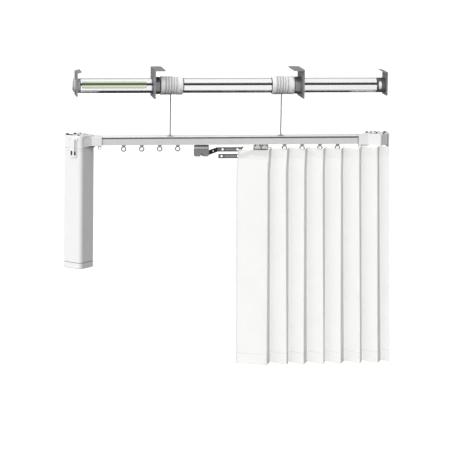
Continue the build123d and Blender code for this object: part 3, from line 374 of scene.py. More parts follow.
# strong painted shade, nearly black, in the rail's grooves and seams
metal("rail_aluminium", (0.70, 0.692, 0.70), rough=0.42, metallic=0.3, lines=(2.0, 1200.0, 1200.0),
      line_amount=0.03, var=0.02, scratch=0.02, dark=(0.02, 0.02, 0.02), groove=1.0, reach=0.004, seam=(0.6, 0.95))
metal("cable_steel", (0.060, 0.060, 0.062), rough=0.5, metallic=0.15, spec=0.2, lines=(900.0, 900.0, 60.0), groove=0.2)
metal("winding_steel", (0.70, 0.70, 0.71), rough=0.42, metallic=0.30, lines=(900.0, 900.0, 60.0), groove=0.2)
metal("ring_metal", (0.25, 0.25, 0.255), rough=0.28, metallic=0.7, lines=(900.0, 6.0, 6.0), groove=0.3)
rubber("rubber", (0.025, 0.025, 0.026))
film("green_film", (0.74, 0.81, 0.61), (0.058, 0.088, 0.022))
board("circuit_board")
cloth_material("curtain_fabric", (0.92, 0.92, 0.905), 0.52)
cloth_material("curtain_tape", (0.94, 0.94, 0.93), 0.30, stitches=False)
# Painted shade: a darker copy of the cloth, with less glow, for the short return panels that face away from the light.
cloth_material("curtain_fold_shade", (0.70, 0.70, 0.69), 0.70, painted_glow=0.16, body=0.85)


def arm_steel(name, black, streak):
    """Dark strip steel: a black length and a lighter streak along the middle, both fixed to the strip."""
    m = metal(name, (0.15, 0.15, 0.155), rough=0.44, metallic=0.5, lines=(14.0, 700.0, 700.0), groove=0.3)
    nt = m.node_tree
    sh = [n for n in nt.nodes if n.type == "BSDF_PRINCIPLED"][0]
    old = sh.inputs["Base Color"].links[0].from_socket
    sep = nt.nodes.new("ShaderNodeSeparateXYZ")
    nt.links.new(coords(nt), sep.inputs[0])

    def between(sock, lo, hi, soft):
        a = spread(nt, sock, 0.0, 1.0, lo - soft, lo)
        b = spread(nt, sock, 1.0, 0.0, hi, hi + soft)
        n = nt.nodes.new("ShaderNodeMath")
        n.operation = "MULTIPLY"
        nt.links.new(a, n.inputs[0])
        nt.links.new(b, n.inputs[1])
        return n.outputs[0]

    c = old
    if streak:
        n = nt.nodes.new("ShaderNodeMath")
        n.operation = "MULTIPLY"
        nt.links.new(between(sep.outputs[2], streak[0], streak[1], 0.0014), n.inputs[0])
        nt.links.new(between(sep.outputs[0], streak[2], streak[3], 0.003), n.inputs[1])
        c = mix_colour(nt, n.outputs[0], c, (0.34, 0.34, 0.35))
    if black:
        for lo, hi in black:
            c = mix_colour(nt, between(sep.outputs[0], lo, hi, 0.0012), c, (0.010, 0.010, 0.011))
    nt.links.new(c, sh.inputs["Base Color"])
    return m


arm_steel("arm_left_steel", ((-0.0445, -0.0195), (0.0448, 0.0600)), (-0.2142, -0.2126, 0.003, 0.040))
arm_steel("arm_right_steel", None, (-0.2300, -0.2284, 0.000, 0.027))

slot_of = {s["node"]: s["material_slot"] for s in frame["record"]["subparts"]}
for name, ob in nodes.items():
    ob.data.materials.clear()
    ob.data.materials.append(made[{"bearing_rings": "ring_metal", "overlap_arm_left": "arm_left_steel",
                                   "overlap_arm_right": "arm_right_steel"}.get(
                                       name, "eye_grey" if name.startswith("glider") else slot_of[name])])


# ------------------------------------------------------------------- helpers
def mesh_object(name, verts, faces, material, smooth=True, uvs=None):
    me = bpy.data.meshes.new(name)
    me.from_pydata([tuple(v) for v in verts], [], faces)
    me.materials.append(made[material])
    if uvs is not None:
        layer = me.uv_layers.new(name="UVMap")
        for loop in me.loops:
            layer.data[loop.index].uv = uvs[loop.vertex_index]
    me.update()
    bm = bmesh.new()
    bm.from_mesh(me)
    bmesh.ops.recalc_face_normals(bm, faces=bm.faces)
    bm.to_mesh(me)
    bm.free()
    for p in me.polygons:
        p.use_smooth = smooth
    ob = bpy.data.objects.new(name, me)
    bpy.context.scene.collection.objects.link(ob)
    return ob


def sharpen(ob, degrees=35.0):
    """Smooth faces, but sharp where two faces meet at more than this angle."""
    me = ob.data
    bm = bmesh.new()
    bm.from_mesh(me)
    for e in bm.edges:
        if len(e.link_faces) == 2:
            e.smooth = e.calc_face_angle(0.0) < math.radians(degrees)
    for f in bm.faces:
        f.smooth = True
    bm.to_mesh(me)
    bm.free()
    me.update()


def route(name, points, resolution):
    """Points along a smooth NURBS line that has these control points."""
    cu = bpy.data.curves.new(name, "CURVE")
    cu.dimensions = "3D"
    cu.resolution_u = resolution
    sp = cu.splines.new("NURBS")
    sp.points.add(len(points) - 1)
    for p, q in zip(sp.points, points):
        p.co = (q[0], q[1], q[2], 1.0)
    sp.order_u = 3
    sp.use_endpoint_u = True
    ob = bpy.data.objects.new(name, cu)
    bpy.context.scene.collection.objects.link(ob)
    bpy.context.view_layer.update()
    dg = bpy.context.evaluated_depsgraph_get()
    me = bpy.data.meshes.new_from_object(ob.evaluated_get(dg))
    found = [v.co.copy() for v in me.vertices]
    bpy.data.meshes.remove(me)
    bpy.data.objects.remove(ob)
    bpy.data.curves.remove(cu)
    return found


def strand_tube(name, path, radius, lay, material, lobes=6, around=24, depth=0.12, neck=None):
    """Cable of twisted strands that follows the path, closed at both ends. A neck is (radius, length) at its start."""
    n = len(path)
    tangents = []
    for i in range(n):
        a, b = path[max(0, i - 1)], path[min(n - 1, i + 1)]
        tangents.append((b - a).normalized())
    up = Vector((1, 0, 0))
    if abs(tangents[0].dot(up)) > 0.8:
        up = Vector((0, 1, 0))
    side = tangents[0].cross(up).normalized()
    verts, faces = [], []
    run = 0.0
    for i in range(n):
        if i:
            run += (path[i] - path[i - 1]).length
            side = (side - tangents[i] * side.dot(tangents[i])).normalized()
        other = tangents[i].cross(side)
        for k in range(around):
            a = 2 * math.pi * k / around
            twist = 2 * math.pi * run / lay
            full = radius if neck is None else neck[0] + (radius - neck[0]) * smoothstep(run / neck[1])
            r = full * (1.0 - depth * (0.5 - 0.5 * math.cos(lobes * a)))
            verts.append(path[i] + side * (r * math.cos(a + twist)) + other * (r * math.sin(a + twist)))
    for i in range(n - 1):
        for k in range(around):
            q = (k + 1) % around
            faces.append((i * around + k, i * around + q, (i + 1) * around + q, (i + 1) * around + k))
    for i, flip in ((0, True), (n - 1, False)):
        centre = len(verts)
        verts.append(path[i])
        for k in range(around):
            q = (k + 1) % around
            f = (centre, i * around + k, i * around + q)
            faces.append(f[::-1] if flip else f)
    return mesh_object(name, verts, faces, material)


# --------------------------------------------------------------------- drums
def smoothstep(t):
    t = max(0.0, min(1.0, t))
    return t * t * (3 - 2 * t)


def drum(name, x0):
    """Moulded drum: narrow collar, five turns of rounded helical cable groove, wide collar."""
    xs = [0.0, 0.25, 0.8, 1.4, 2.2, 5.0, 7.8, 8.6, 9.1, 9.5, 9.6]
    x = 9.95
    while x < 44.45:
        xs.append(x)
        x += 0.25
    xs += [44.6, 44.7, 45.1, 45.6, 46.4, 49.0, 52.0, 54.6, 55.2, 56.0, 56.6, 57.0]
    around = 168

    def radius(x, a):
        if x <= 9.6:
            r = 23.4
            if x < 1.4:
                r = 22.0 + 1.4 * math.sqrt(max(0.0, 1 - (1 - x / 1.4) ** 2))
            elif x > 8.6:
                r = 23.4 - 0.55 * ((x - 8.6)) ** 2
            return r
        if x >= 44.6:
            if x < 45.6:
                return 23.4 - 0.7 * (45.6 - x) ** 2
            if x > 55.2:
                return 23.4 - 1.8 * ((x - 55.2) / 1.8) ** 1.6
            return 23.4
        phase = (x - DROP_AT) / PITCH + a / (2 * math.pi)
        phase -= round(phase)
        d = abs(phase) * PITCH
        if d < 0.75:
            return 20.9 + 1.15 * (d / 0.75) ** 2
        return 22.05 + 1.2 * smoothstep((d - 0.75) / 1.1)

    verts, faces = [], []
    for x in xs:
        for k in range(around):
            a = 2 * math.pi * k / around
            r = radius(x, a)
            verts.append(((x0 + x) * MM, r * math.cos(a) * MM, (AX + r * math.sin(a)) * MM))
    n = len(xs)
    for x in (57.0, 0.0):
        for k in range(around):
            a = 2 * math.pi * k / around
            verts.append(((x0 + x) * MM, 19.03 * math.cos(a) * MM, (AX + 19.03 * math.sin(a)) * MM))
    total = n + 2
    for i in range(total):
        j = (i + 1) % total
        for k in range(around):
            q = (k + 1) % around
            faces.append((i * around + k, j * around + k, j * around + q, i * around + q))
    ob = mesh_object(name, verts, faces, "drum_plastic")

    def cutter(cname, p0, p1, r_in, r_out, width):
        """A radial slot cutter with round ends between two places (x, angle) on the collar."""
        bm = bmesh.new()
        rings = []
        for r in (r_in, r_out):
            loop = []
            m = Vector(((p0[0] + p1[0]) / 2, math.radians((p0[1] + p1[1]) / 2) * 23.4))
            a = Vector((p0[0], math.radians(p0[1]) * 23.4))
            b = Vector((p1[0], math.radians(p1[1]) * 23.4))
            along = (b - a)
            length = along.length
            along = along.normalized() if length > 1e-6 else Vector((1, 0))
            across = Vector((-along[1], along[0]))
            for end, base, s0 in ((b, -90, 1), (a, 90, 1)):
                for t in range(13):
                    w = math.radians(base + 15 * t)
                    p = end + along * (width / 2 * math.cos(w)) + across * (width / 2 * math.sin(w))
                    ang = p[1] / 23.4
                    loop.append(bm.verts.new(((x0 + p[0]) * MM, r * math.cos(ang) * MM, (AX + r * math.sin(ang)) * MM)))
            rings.append(loop)
        c = len(rings[0])
        for i in range(c):
            j = (i + 1) % c
            bm.faces.new((rings[0][i], rings[0][j], rings[1][j], rings[1][i]))
        bm.faces.new(rings[0][::-1])
        bm.faces.new(rings[1])
        bmesh.ops.recalc_face_normals(bm, faces=bm.faces)
        me = bpy.data.meshes.new(cname)
        bm.to_mesh(me)
        bm.free()
        me.materials.append(made["drum_plastic"])
        co = bpy.data.objects.new(cname, me)
        bpy.context.scene.collection.objects.link(co)
        return co

    cuts = [cutter(name + "_hole", (51.9, 208.0), (51.9, 208.0), 19.6, 25.0, 4.6),
            cutter(name + "_slash", (48.6, 199.0), (54.4, 217.0), 22.3, 25.0, 1.5)]
    for c in cuts:
        mod = ob.modifiers.new("cut", "BOOLEAN")
        mod.operation = "DIFFERENCE"
        mod.solver = "EXACT"
        mod.object = c
    bpy.context.view_layer.update()
    dg = bpy.context.evaluated_depsgraph_get()
    me = bpy.data.meshes.new_from_object(ob.evaluated_get(dg))
    ob.modifiers.clear()
    ob.data = me
    for c in cuts:
        bpy.data.objects.remove(c)
    # painted shade: the grooved band of the drum takes the darker copy of its plastic
    ob.data.materials.append(made["drum_groove_shaded"])
    for f in ob.data.polygons:
        if (x0 + 9.65) * MM < f.center[0] < (x0 + 44.55) * MM and (f.center[1] ** 2 + (f.center[2] - AX * MM) ** 2) > 0.0203 ** 2:
            f.material_index = 1
    sharpen(ob, 32.0)
    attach(ob, "roller")
    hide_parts("cable_drums")
    return ob


def winding(name, x0):
    """Stored cable: from the point where it leaves, back along the groove, then in through the drum wall."""
    per = 24
    grow = 1.0 / (0.5 * (1 + math.cos(2 * math.pi / per)) * 0.5 + 0.5)
    pts = []
    turns = 2.75
    steps = int(turns * per)
    for i in range(steps + 1):
        a = 2 * math.pi * i / per
        r = (22.0 + CABLE_R) * (grow if 0 < i else 1.0)
        x = x0 + DROP_AT - PITCH * i / per
        pts.append((x * MM, r * math.cos(a) * MM, (AX + r * math.sin(a)) * MM))
    for extra, r in ((1, 22.0), (2, 20.6)):
        a = 2 * math.pi * (steps + extra) / per
        x = x0 + DROP_AT - PITCH * (steps + extra) / per
        pts.append((x * MM, r * math.cos(a) * MM, (AX + r * math.sin(a)) * MM))
    line = route(name + "_line", pts, 9)
    ob = strand_tube(name, line, CABLE_R * MM, 0.011, "winding_steel", around=18)
    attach(ob, "roller")
    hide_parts("cable_windings")
    return ob


def drop(name, x, node):
    """The free cable between drum and rail, always taut."""
    z0, z1 = AX, -176.0
    pts = [(x * MM, YT * MM, (z0 + (z1 - z0) * i / 7) * MM) for i in range(8)]
    line = route(name + "_line", pts, 18)
    ob = strand_tube(name, line, HANG_R * MM, 0.011, "cable_steel", around=18, neck=(CABLE_R * MM, 0.014))
    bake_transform(ob)
    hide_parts(node)
    return ob


for side, x0, node in (("left", DRUM_X[0], "lift_cable_left"), ("right", DRUM_X[1], "lift_cable_right")):
    drum("drum_" + side, x0)
    winding("winding_" + side, x0)
    drop("cable_" + side, x0 + DROP_AT, node)

# ------------------------------------------------------------------- curtain
FOLDS = [(31, -18), (107, -44), (120, -8)]
while FOLDS[-1][0] < 350:
    fx = FOLDS[-1][0]
    FOLDS += [(fx + 34, -44), (fx + 47.3, -8)]
END_FOLDS = [FOLDS[-1], (FOLDS[-1][0] + 34, -44), (FOLDS[-1][0] + 47.3, -8), (424.5, -30)]
DEPTHS = [0, 0.5, 1.5, 4, 8, 12, 16, 20, 23, 24.2, 24.8, 25.4, 26.4, 29, 34, 42, 52]
DEPTHS += [62 + 12 * i for i in range(40)]
DEPTHS = [d for d in DEPTHS if d < 536] + [536, 539, 540.2, 540.9, 541.6, 542.4, 543.6, 547, 553, 560, 565,
                                           567.6, 569, 569.7, 570]
HEIGHT = 570.0


def wander(i, t, k):
    """How far a fold strays from the vertical at depth t, in mm: none at the ends of the run."""
    return (math.sin(1.7 * i + 2.1 * k + 2.6 * t) - math.sin(1.7 * i + 2.1 * k)) * 1.0 * t


def plan(folds, depth, first):
    """Plan line of the cloth at one depth: flat panels and rounded folds. Returns the points."""
    t = depth / HEIGHT
    corner = []
    last = len(folds) - 1
    for i, (x, y) in enumerate(folds):
        free = 0 < i < last
        # the hem swings out to the right and spreads a little
        s = (x - 31.0) / 393.5
        dx = smoothstep(t / 0.12) * (-4.6 + 4.9 * s) + t * (7.8 + 9.1 * s) + (wander(i + first, t, 0) if free else 0.0)
        dy = wander(i + first, t, 1) * 0.8 if free else 0.0
        if y == -44 and free:
            dy -= 0.0 if t < 0.05 else 0.9 * t
        corner.append(Vector((x + dx, YT + y + dy)))
    pts = []
    for i in range(last + 1):
        if i in (0, last):
            pts.append(corner[i].copy())
            if i == last:
                break
        else:
            a = (corner[i] - corner[i - 1]).normalized()
            b = (corner[i + 1] - corner[i]).normalized()
            soft = (3.0 if folds[i][1] == -44 else 2.6) * (1.0 + 0.25 * t)
            p0, p2 = corner[i] - a * soft, corner[i] + b * soft
            for s in range(1, 8):
                u = s / 8
                pts.append(p0 * (1 - u) ** 2 + corner[i] * 2 * u * (1 - u) + p2 * u * u)
        # the panel to the next corner, with a slight bow
        a, b = corner[i], corner[i + 1]
        d = (b - a)
        ln = d.length
        d = d.normalized()
        nrm = Vector((-d[1], d[0]))
        s0 = 3.2 * (1.0 + 0.25 * t) if i > 0 else 0.0
        s1 = 3.2 * (1.0 + 0.25 * t) if i + 1 < last else 0.0
        count = 11 if ln > 45 else 8
        bow = 1.1 if ln > 45 else 0.5
        for s in range(0 if i > 0 else 1, count + 1 if i + 1 < last else count):
            u = s / count
            w = s0 + (ln - s0 - s1) * u
            pts.append(a + d * w + nrm * (-bow * math.sin(math.pi * w / ln)))
    return pts


def thickness(depth, run, total, ends):
    th = 0.85
    if depth < 25:
        th += 0.45 * smoothstep((25.4 - depth) / 0.8)
    if depth > 541:
        th += 0.65 * smoothstep((depth - 541) / 1.2)
    for row in (24.4, 540.9):
        th -= 0.35 * math.exp(-((depth - row) / 0.6) ** 2)
    if ends[0] and run < 14:
        th += 0.5 * smoothstep((14.5 - run) / 0.8)
    if ends[1] and total - run < 14:
        th += 0.5 * smoothstep((14.5 - total + run) / 0.8)
    for edge in (depth, HEIGHT - depth):
        if edge < 1.2:
            th *= 0.45 + 0.55 * math.sqrt(max(0.0, 1 - (1 - edge / 1.2) ** 2))
    return th


def fold_columns(folds):
    """For each column of the plan, whether it lies on a short return panel."""
    last = len(folds) - 1
    kinds = []
    for i in range(last):
        a, b = folds[i], folds[i + 1]
        ln = math.hypot(b[0] - a[0], b[1] - a[1])
        short = a[1] == -44 and b[1] == -8
        kinds += [False] * (1 if i == 0 else 7)
        count = 11 if ln > 45 else 8
        kinds += [short] * (len(range(0 if i > 0 else 1, count + 1 if i + 1 < last else count)))
    return kinds + [False]


def sag(x, depth):
    """The heading hangs a little below the rail, the first panel lowest, under the master carrier."""
    low = 2.8 * (1 - smoothstep((x - 334.0) / 22.0)) + 2.6 * (1 - smoothstep((x - 96.0) / 15.0))
    return low * (1 - smoothstep(depth / 160.0))


def sheet_mesh(name, folds, first, material, depths, offset=0.0, thick=None, ends=(False, False), uv0=0.0,
               ridge=None):
    grid = [plan(folds, d, first) for d in depths]
    cols, rows = len(grid[0]), len(depths)
    front, back, uvs = [], [], []
    runs = []
    for pts in grid:
        r = [0.0]
        for i in range(1, cols):
            r.append(r[-1] + (pts[i] - pts[i - 1]).length)
        runs.append(r)
    for ri, (pts, depth) in enumerate(zip(grid, depths)):
        for i in range(cols):
            a, b = pts[max(0, i - 1)], pts[min(cols - 1, i + 1)]
            d = (b - a).normalized()
            n = Vector((d[1], -d[0]))           # toward the front
            th = thick if thick is not None else thickness(depth, runs[ri][i], runs[ri][-1], ends)
            if ridge is not None:
                th = thick + ridge(depth)
            mid = pts[i] - n * offset
            z = (CLOTH_TOP - depth - sag(pts[i][0], depth)) * MM
            f = mid + n * (th / 2 if thick is None else thick / 2)
            k = mid - n * (th / 2 if thick is None else th - thick / 2)
            front.append(Vector((f[0] * MM, f[1] * MM, z)))
            back.append(Vector((k[0] * MM, k[1] * MM, z)))
            uvs.append(((uv0 + runs[ri][i]) * MM, -depth * MM))
    verts = front + back
    m = len(front)
    faces = []
    for r in range(rows - 1):
        for i in range(cols - 1):
            a = r * cols + i
            faces.append((a, a + 1, a + cols + 1, a + cols))
            faces.append((m + a, m + a + cols, m + a + cols + 1, m + a + 1))
    for i in range(cols - 1):
        faces.append((i, m + i, m + i + 1, i + 1))
        e = (rows - 1) * cols + i
        faces.append((e, e + 1, m + e + 1, m + e))
    for r in range(rows - 1):
        a = r * cols
        faces.append((a, a + cols, m + a + cols, m + a))
        e = a + cols - 1
        faces.append((e, m + e, m + e + cols, e + cols))
    ob = mesh_object(name, verts, faces, material, uvs=uvs + uvs)
    # painted shade: faces on the short return panels get the darker copy of the cloth
    if material == "curtain_fabric":
        kinds = fold_columns(folds)
        assert len(kinds) == cols, (len(kinds), cols)
        ob.data.materials.append(made["curtain_fold_shade"])
        for f in ob.data.polygons:
            f.material_index = 1 if all(kinds[v % m % cols] for v in f.vertices) else 0
    sharpen(ob, 60.0)
    return ob, runs[0][-1]


def tape_ridge(depth):
    """Cords woven along the heading tape."""
    return sum(0.45 * math.exp(-((depth - c) / 0.7) ** 2) for c in (5.5, 13.5, 21.5))


TAPE = [3.0, 3.4, 4.4, 5.0, 5.5, 6.0, 6.6, 8, 10, 12, 12.6, 13.2, 13.5, 13.8, 14.4, 16, 18, 20, 20.6, 21.2, 21.5,
        21.8, 22.4, 23.2, 23.6]
panel, wide = sheet_mesh("curtain_panel", FOLDS, 0, "curtain_fabric", DEPTHS, ends=(True, False))
tape, _ = sheet_mesh("heading_tape", FOLDS, 0, "curtain_tape", TAPE, offset=1.05, thick=0.6, ridge=tape_ridge)
back_panel, narrow = sheet_mesh("curtain_return_panel", END_FOLDS, len(FOLDS) - 1, "curtain_fabric", DEPTHS,
                                ends=(False, True), uv0=wide)
back_tape, _ = sheet_mesh("heading_tape_return", END_FOLDS, len(FOLDS) - 1, "curtain_tape", TAPE, offset=1.05,
                          thick=0.6, ridge=tape_ridge)
for ob, nm in ((panel, "curtain_cloth"), (back_panel, "curtain_return")):
    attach(ob, "track")
    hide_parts(nm)
for ob in (tape, back_tape):
    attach(ob, "track")
for ob in (panel, tape):
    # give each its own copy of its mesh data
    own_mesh(ob)


def loop(name, x, body):
    """Woven pocket on the back of the heading tape that holds a hook."""
    bm = bmesh.new()
    w, dy, h = 5.4, 3.6, 11.0
    ring = []
    for a in range(28):
        t = 2 * math.pi * a / 28
        c, s = math.cos(t), math.sin(t)
        ring.append((math.copysign(abs(c) ** 0.55, c) * w / 2, math.copysign(abs(s) ** 0.7, s) * dy / 2))
    inner = [(p[0] * 0.72, p[1] * 0.62) for p in ring]
    levels = [(-218.0, 0.94), (-217.6, 1.0), (-213.4, 1.0), (-213.0, 0.94)]
    cy = YT - 5.9
    outer_v, inner_v = [], []
    for z, k in ((-226.4, 0.93), (-225.9, 1.0), (-222.0, 1.02), (-218.5, 1.0), (-216.1, 1.0), (-215.6, 0.93)):
        outer_v.append([bm.verts.new(((x + p[0] * k) * MM, (cy + p[1] * k) * MM, z * MM)) for p in ring])
        inner_v.append([bm.verts.new(((x + p[0]) * MM, (cy + p[1]) * MM, z * MM)) for p in inner])
    n = len(ring)
    for rows in (outer_v, inner_v):
        for r in range(len(rows) - 1):
            for i in range(n):
                j = (i + 1) % n
                bm.faces.new((rows[r][i], rows[r][j], rows[r + 1][j], rows[r + 1][i]))
    for r in (0, -1):
        for i in range(n):
            j = (i + 1) % n
            bm.faces.new((outer_v[r][i], outer_v[r][j], inner_v[r][j], inner_v[r][i]))
    bmesh.ops.recalc_face_normals(bm, faces=bm.faces)
    for f in bm.faces:
        f.smooth = True
    me = bpy.data.meshes.new(name)
    uv = bm.loops.layers.uv.new("UVMap")
    for f in bm.faces:
        for lp in f.loops:
            lp[uv].uv = (lp.vert.co.x + lp.vert.co.y, lp.vert.co.z)
    bm.to_mesh(me)
    bm.free()
    me.materials.append(made["curtain_tape"])
    ob = bpy.data.objects.new(name, me)
    bpy.context.scene.collection.objects.link(ob)
    sharpen(ob, 50.0)
    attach(ob, body)
    return ob


loop("tape_loop_0", 119.5, "right_carriage")
for i, g in enumerate((139.0, 185.5, 232.0, 278.5)):
    loop("tape_loop_%d" % (i + 1), 16.0 + g + 11.5, "right_glider_%d" % (i + 1))

# --------------------------------------------------- painted shade: dark lugs seen in the latch
U = math.sqrt(0.5)


def lug(name, t):
    """Dark moulded lug on the motor face that stands in a slot of the latch; its black is painted shade for the recess
    behind the slot.
    """
    origin = Vector((-376.5 - U * 28, YT - U * 28, 0))
    along, out = Vector((U, -U, 0)), Vector((-U, -U, 0))
    bm = bmesh.new()
    rows = []
    for o, k in ((-0.3, 1.0), (1.5, 1.0), (1.95, 0.94), (2.15, 0.8)):
        ring = []
        for s, base in ((1, 0), (-1, 180)):
            for q in range(11):
                a = math.radians(base + 18 * q)
                px, pz = 1.5 * math.cos(a), s * 2.25 + 1.5 * math.sin(a)
                p = origin + along * (t + px * k) + out * o + Vector((0, 0, -217.6 + pz * (1 - (1 - k) * 0.4)))
                ring.append(bm.verts.new(p * MM))
        rows.append(ring)
    n = len(rows[0])
    for r in range(len(rows) - 1):
        for i in range(n):
            j = (i + 1) % n
            bm.faces.new((rows[r][i], rows[r][j], rows[r + 1][j], rows[r + 1][i]))
    bm.faces.new(rows[0][::-1])
    bm.faces.new(rows[-1])
    bmesh.ops.recalc_face_normals(bm, faces=bm.faces)
    me = bpy.data.meshes.new(name)
    bm.to_mesh(me)
    bm.free()
    me.materials.append(made["black_plastic"])
    ob = bpy.data.objects.new(name, me)
    bpy.context.scene.collection.objects.link(ob)
    sharpen(ob, 40.0)
    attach(ob, "track")
    return ob


lug("latch_shade_lug_1", -0.3)
lug("latch_shade_lug_2", 10.5)

# ------------------------------------------------------------ moulded details
def rounded(cx, cy, w, h, r, rot=0.0, seg=4):
    """Outline of a rectangle with round corners."""
    pts = []
    for sx, sy, a0 in ((1, 1, 0), (-1, 1, 90), (-1, -1, 180), (1, -1, 270)):
        for k in range(seg + 1):
            a = math.radians(a0 + 90 * k / seg)
            pts.append((sx * (w / 2 - r) + r * math.cos(a), sy * (h / 2 - r) + r * math.sin(a)))
    c, d = math.cos(math.radians(rot)), math.sin(math.radians(rot))
    return [(cx + x * c - y * d, cy + x * d + y * c) for x, y in pts]


def moulded(name, parts, place, material, body):
    """Raised mouldings with softened rims. Each part is (outline, base, height, rim); place turns (u, v, w) into mm."""
    bm = bmesh.new()
    for outline, base, height, rim in parts:
        n = len(outline)
        mx = sum(p[0] for p in outline) / n
        my = sum(p[1] for p in outline) / n
        rings = []
        for w, inset in ((base, 0.0), (base + height - rim, 0.0), (base + height - rim * 0.55, rim * 0.12),
                         (base + height - rim * 0.2, rim * 0.42), (base + height, rim)):
            ring = []
            for x, y in outline:
                d = Vector((x - mx, y - my))
                k = max(0.05, 1 - inset / max(d.length, 1e-6))
                ring.append(bm.verts.new(Vector(place(mx + d[0] * k, my + d[1] * k, w)) * MM))
            rings.append(ring)
        for r in range(len(rings) - 1):
            for i in range(n):
                j = (i + 1) % n
                bm.faces.new((rings[r][i], rings[r][j], rings[r + 1][j], rings[r + 1][i]))
        bm.faces.new(rings[0][::-1])
        bm.faces.new(rings[-1])
    bmesh.ops.recalc_face_normals(bm, faces=bm.faces)
    me = bpy.data.meshes.new(name)
    bm.to_mesh(me)
    bm.free()
    me.materials.append(made[material])
    ob = bpy.data.objects.new(name, me)
    bpy.context.scene.collection.objects.link(ob)
    sharpen(ob, 42.0)
    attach(ob, body)
    return ob


def top(u, v, w):
    return (u, v, w)


MX, IX = -376.5, 397.0
TOP = -172.0
# Dark and grey mouldings on top of the two boxes; their dark colours are painted shade, standing for shaded openings
# and recesses in the box tops.
moulded("drive_top_shade_marks", [
    ([(-411.2, YT + 1.5), (-411.2, YT - 1.5), (-406.8, YT - 5.8), (-403.6, YT - 4.4), (-402.6, YT + 3.8), (-406.4, YT + 5.8)],
     TOP - 0.1, 3.6, 0.7),
    (rounded(-399.4, YT - 9.2, 13.0, 2.6, 1.1, -45), TOP - 0.1, 2.2, 0.5),
    (rounded(-387.5, 29.0, 6.4, 6.0, 1.4, 10), TOP - 0.1, 3.2, 0.7),
    (rounded(-380.0, 8.0, 6.0, 4.0, 1.2, -45), TOP - 0.1, 2.4, 0.5),
], top, "black_plastic", "track")
moulded("drive_top_grey_shade_marks", [
    (rounded(-372.0, 27.0, 5.4, 2.6, 0.9, 45), TOP - 0.1, 1.8, 0.5),
    (rounded(-365.5, 12.0, 5.0, 2.8, 0.9, -45), TOP - 0.1, 1.8, 0.5),
    (rounded(-357.5, 20.0, 5.0, 2.6, 0.9, 0), TOP - 0.1, 1.6, 0.5),
    (rounded(-384.0, 46.0, 5.6, 2.8, 0.9, 45), TOP - 0.1, 2.2, 0.5),
    (rounded(-371.5, 50.5, 5.6, 2.8, 0.9, -45), TOP - 0.1, 2.2, 0.5),
    (rounded(-361.0, 36.0, 4.6, 2.6, 0.9, -45), TOP - 0.1, 1.6, 0.5),
], top, "clip_grey", "track")
moulded("idler_top_shade_marks", [
    (rounded(372.6, YT + 9.5, 4.4, 7.0, 1.4, 20), TOP - 0.1, 3.2, 0.7),
    (rounded(396.0, YT - 6.5, 5.0, 3.6, 1.2, -25), TOP - 0.1, 2.8, 0.6),
    (rounded(419.6, YT + 7.0, 5.4, 9.0, 1.6, 0), TOP - 0.1, 3.4, 0.8),
    (rounded(411.6, YT - 18.0, 4.6, 3.6, 1.2, 40), TOP - 0.1, 2.6, 0.6),
], top, "black_plastic", "track")
moulded("idler_top_grey_shade_marks", [
    (rounded(380.5, YT - 9.0, 5.2, 2.8, 0.9, -25), TOP - 0.1, 1.8, 0.5),
    (rounded(388.5, YT - 15.5, 5.0, 2.8, 0.9, -25), TOP - 0.1, 1.8, 0.5),
    (rounded(385.0, YT + 16.0, 7.0, 2.8, 0.9, 25), TOP - 0.1, 2.4, 0.5),
    (rounded(397.0, YT + 20.0, 6.0, 2.8, 0.9, 10), TOP - 0.1, 2.4, 0.5),
    (rounded(406.5, YT + 12.0, 4.6, 2.8, 0.9, -35), TOP - 0.1, 2.0, 0.5),
], top, "clip_grey", "track")


def on_face(u, v, w):
    """Front left face of box and motor: u along it from its middle, v up, w out."""
    return (MX - U * 28 + U * u - U * w, YT - U * 28 - U * u - U * w, v)


# A raised rib on the latch; its dark grey is painted shade for the shadow line along the latch.
moulded("latch_shade_rib", [(rounded(11.7, -195.0, 3.0, 30.0, 1.2), 2.0, 1.5, 0.5)], on_face, "eye_grey", "latch")
# Dark caps over the two slots of the latch; the lugs stand behind them. Their black is painted shade for the recesses
# of the slots.
for number, u in ((1, 0.3), (2, 11.4)):
    moulded("latch_cap_%d" % number, [(rounded(u, -216.1, 5.4, 11.8, 2.5), 2.6, 0.8, 0.3)], on_face, "black_plastic",
            "latch")


def outer_loop(grow):
    """Outline of the motor's section, moved out by some mm."""
    pts = []
    h = 28.0 * math.sqrt(2)
    for a0, r in ((0, 6.0), (90, 11.0), (180, 6.0), (270, 11.0)):
        c = h - r * math.sqrt(2)
        for k in range(11):
            a = math.radians(a0 - 45 + 9 * k)
            pts.append((MX + c * math.cos(math.radians(a0)) + (r + grow) * math.cos(a),
                        YT + c * math.sin(math.radians(a0)) + (r + grow) * math.sin(a)))
    return pts


def band(name, z0, z1, grow, material):
    """Thin gasket round the motor between two of its shells."""
    bm = bmesh.new()
    rows = []
    for z, g in ((z0, -0.6), (z0, grow * 0.4), (z0 + 0.25, grow), (z1 - 0.25, grow), (z1, grow * 0.4), (z1, -0.6)):
        rows.append([bm.verts.new((x * MM, y * MM, z * MM)) for x, y in outer_loop(g)])
    n = len(rows[0])
    for r in range(len(rows)):
        q = (r + 1) % len(rows)
        for i in range(n):
            j = (i + 1) % n
            bm.faces.new((rows[r][i], rows[r][j], rows[q][j], rows[q][i]))
    bmesh.ops.recalc_face_normals(bm, faces=bm.faces)
    me = bpy.data.meshes.new(name)
    bm.to_mesh(me)
    bm.free()
    me.materials.append(made[material])
    ob = bpy.data.objects.new(name, me)
    bpy.context.scene.collection.objects.link(ob)
    sharpen(ob, 40.0)
    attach(ob, "track")


band("cap_gasket", -500.0, -498.3, 0.16, "clip_grey")
band("box_gasket", -204.6, -203.5, 0.14, "band_grey")

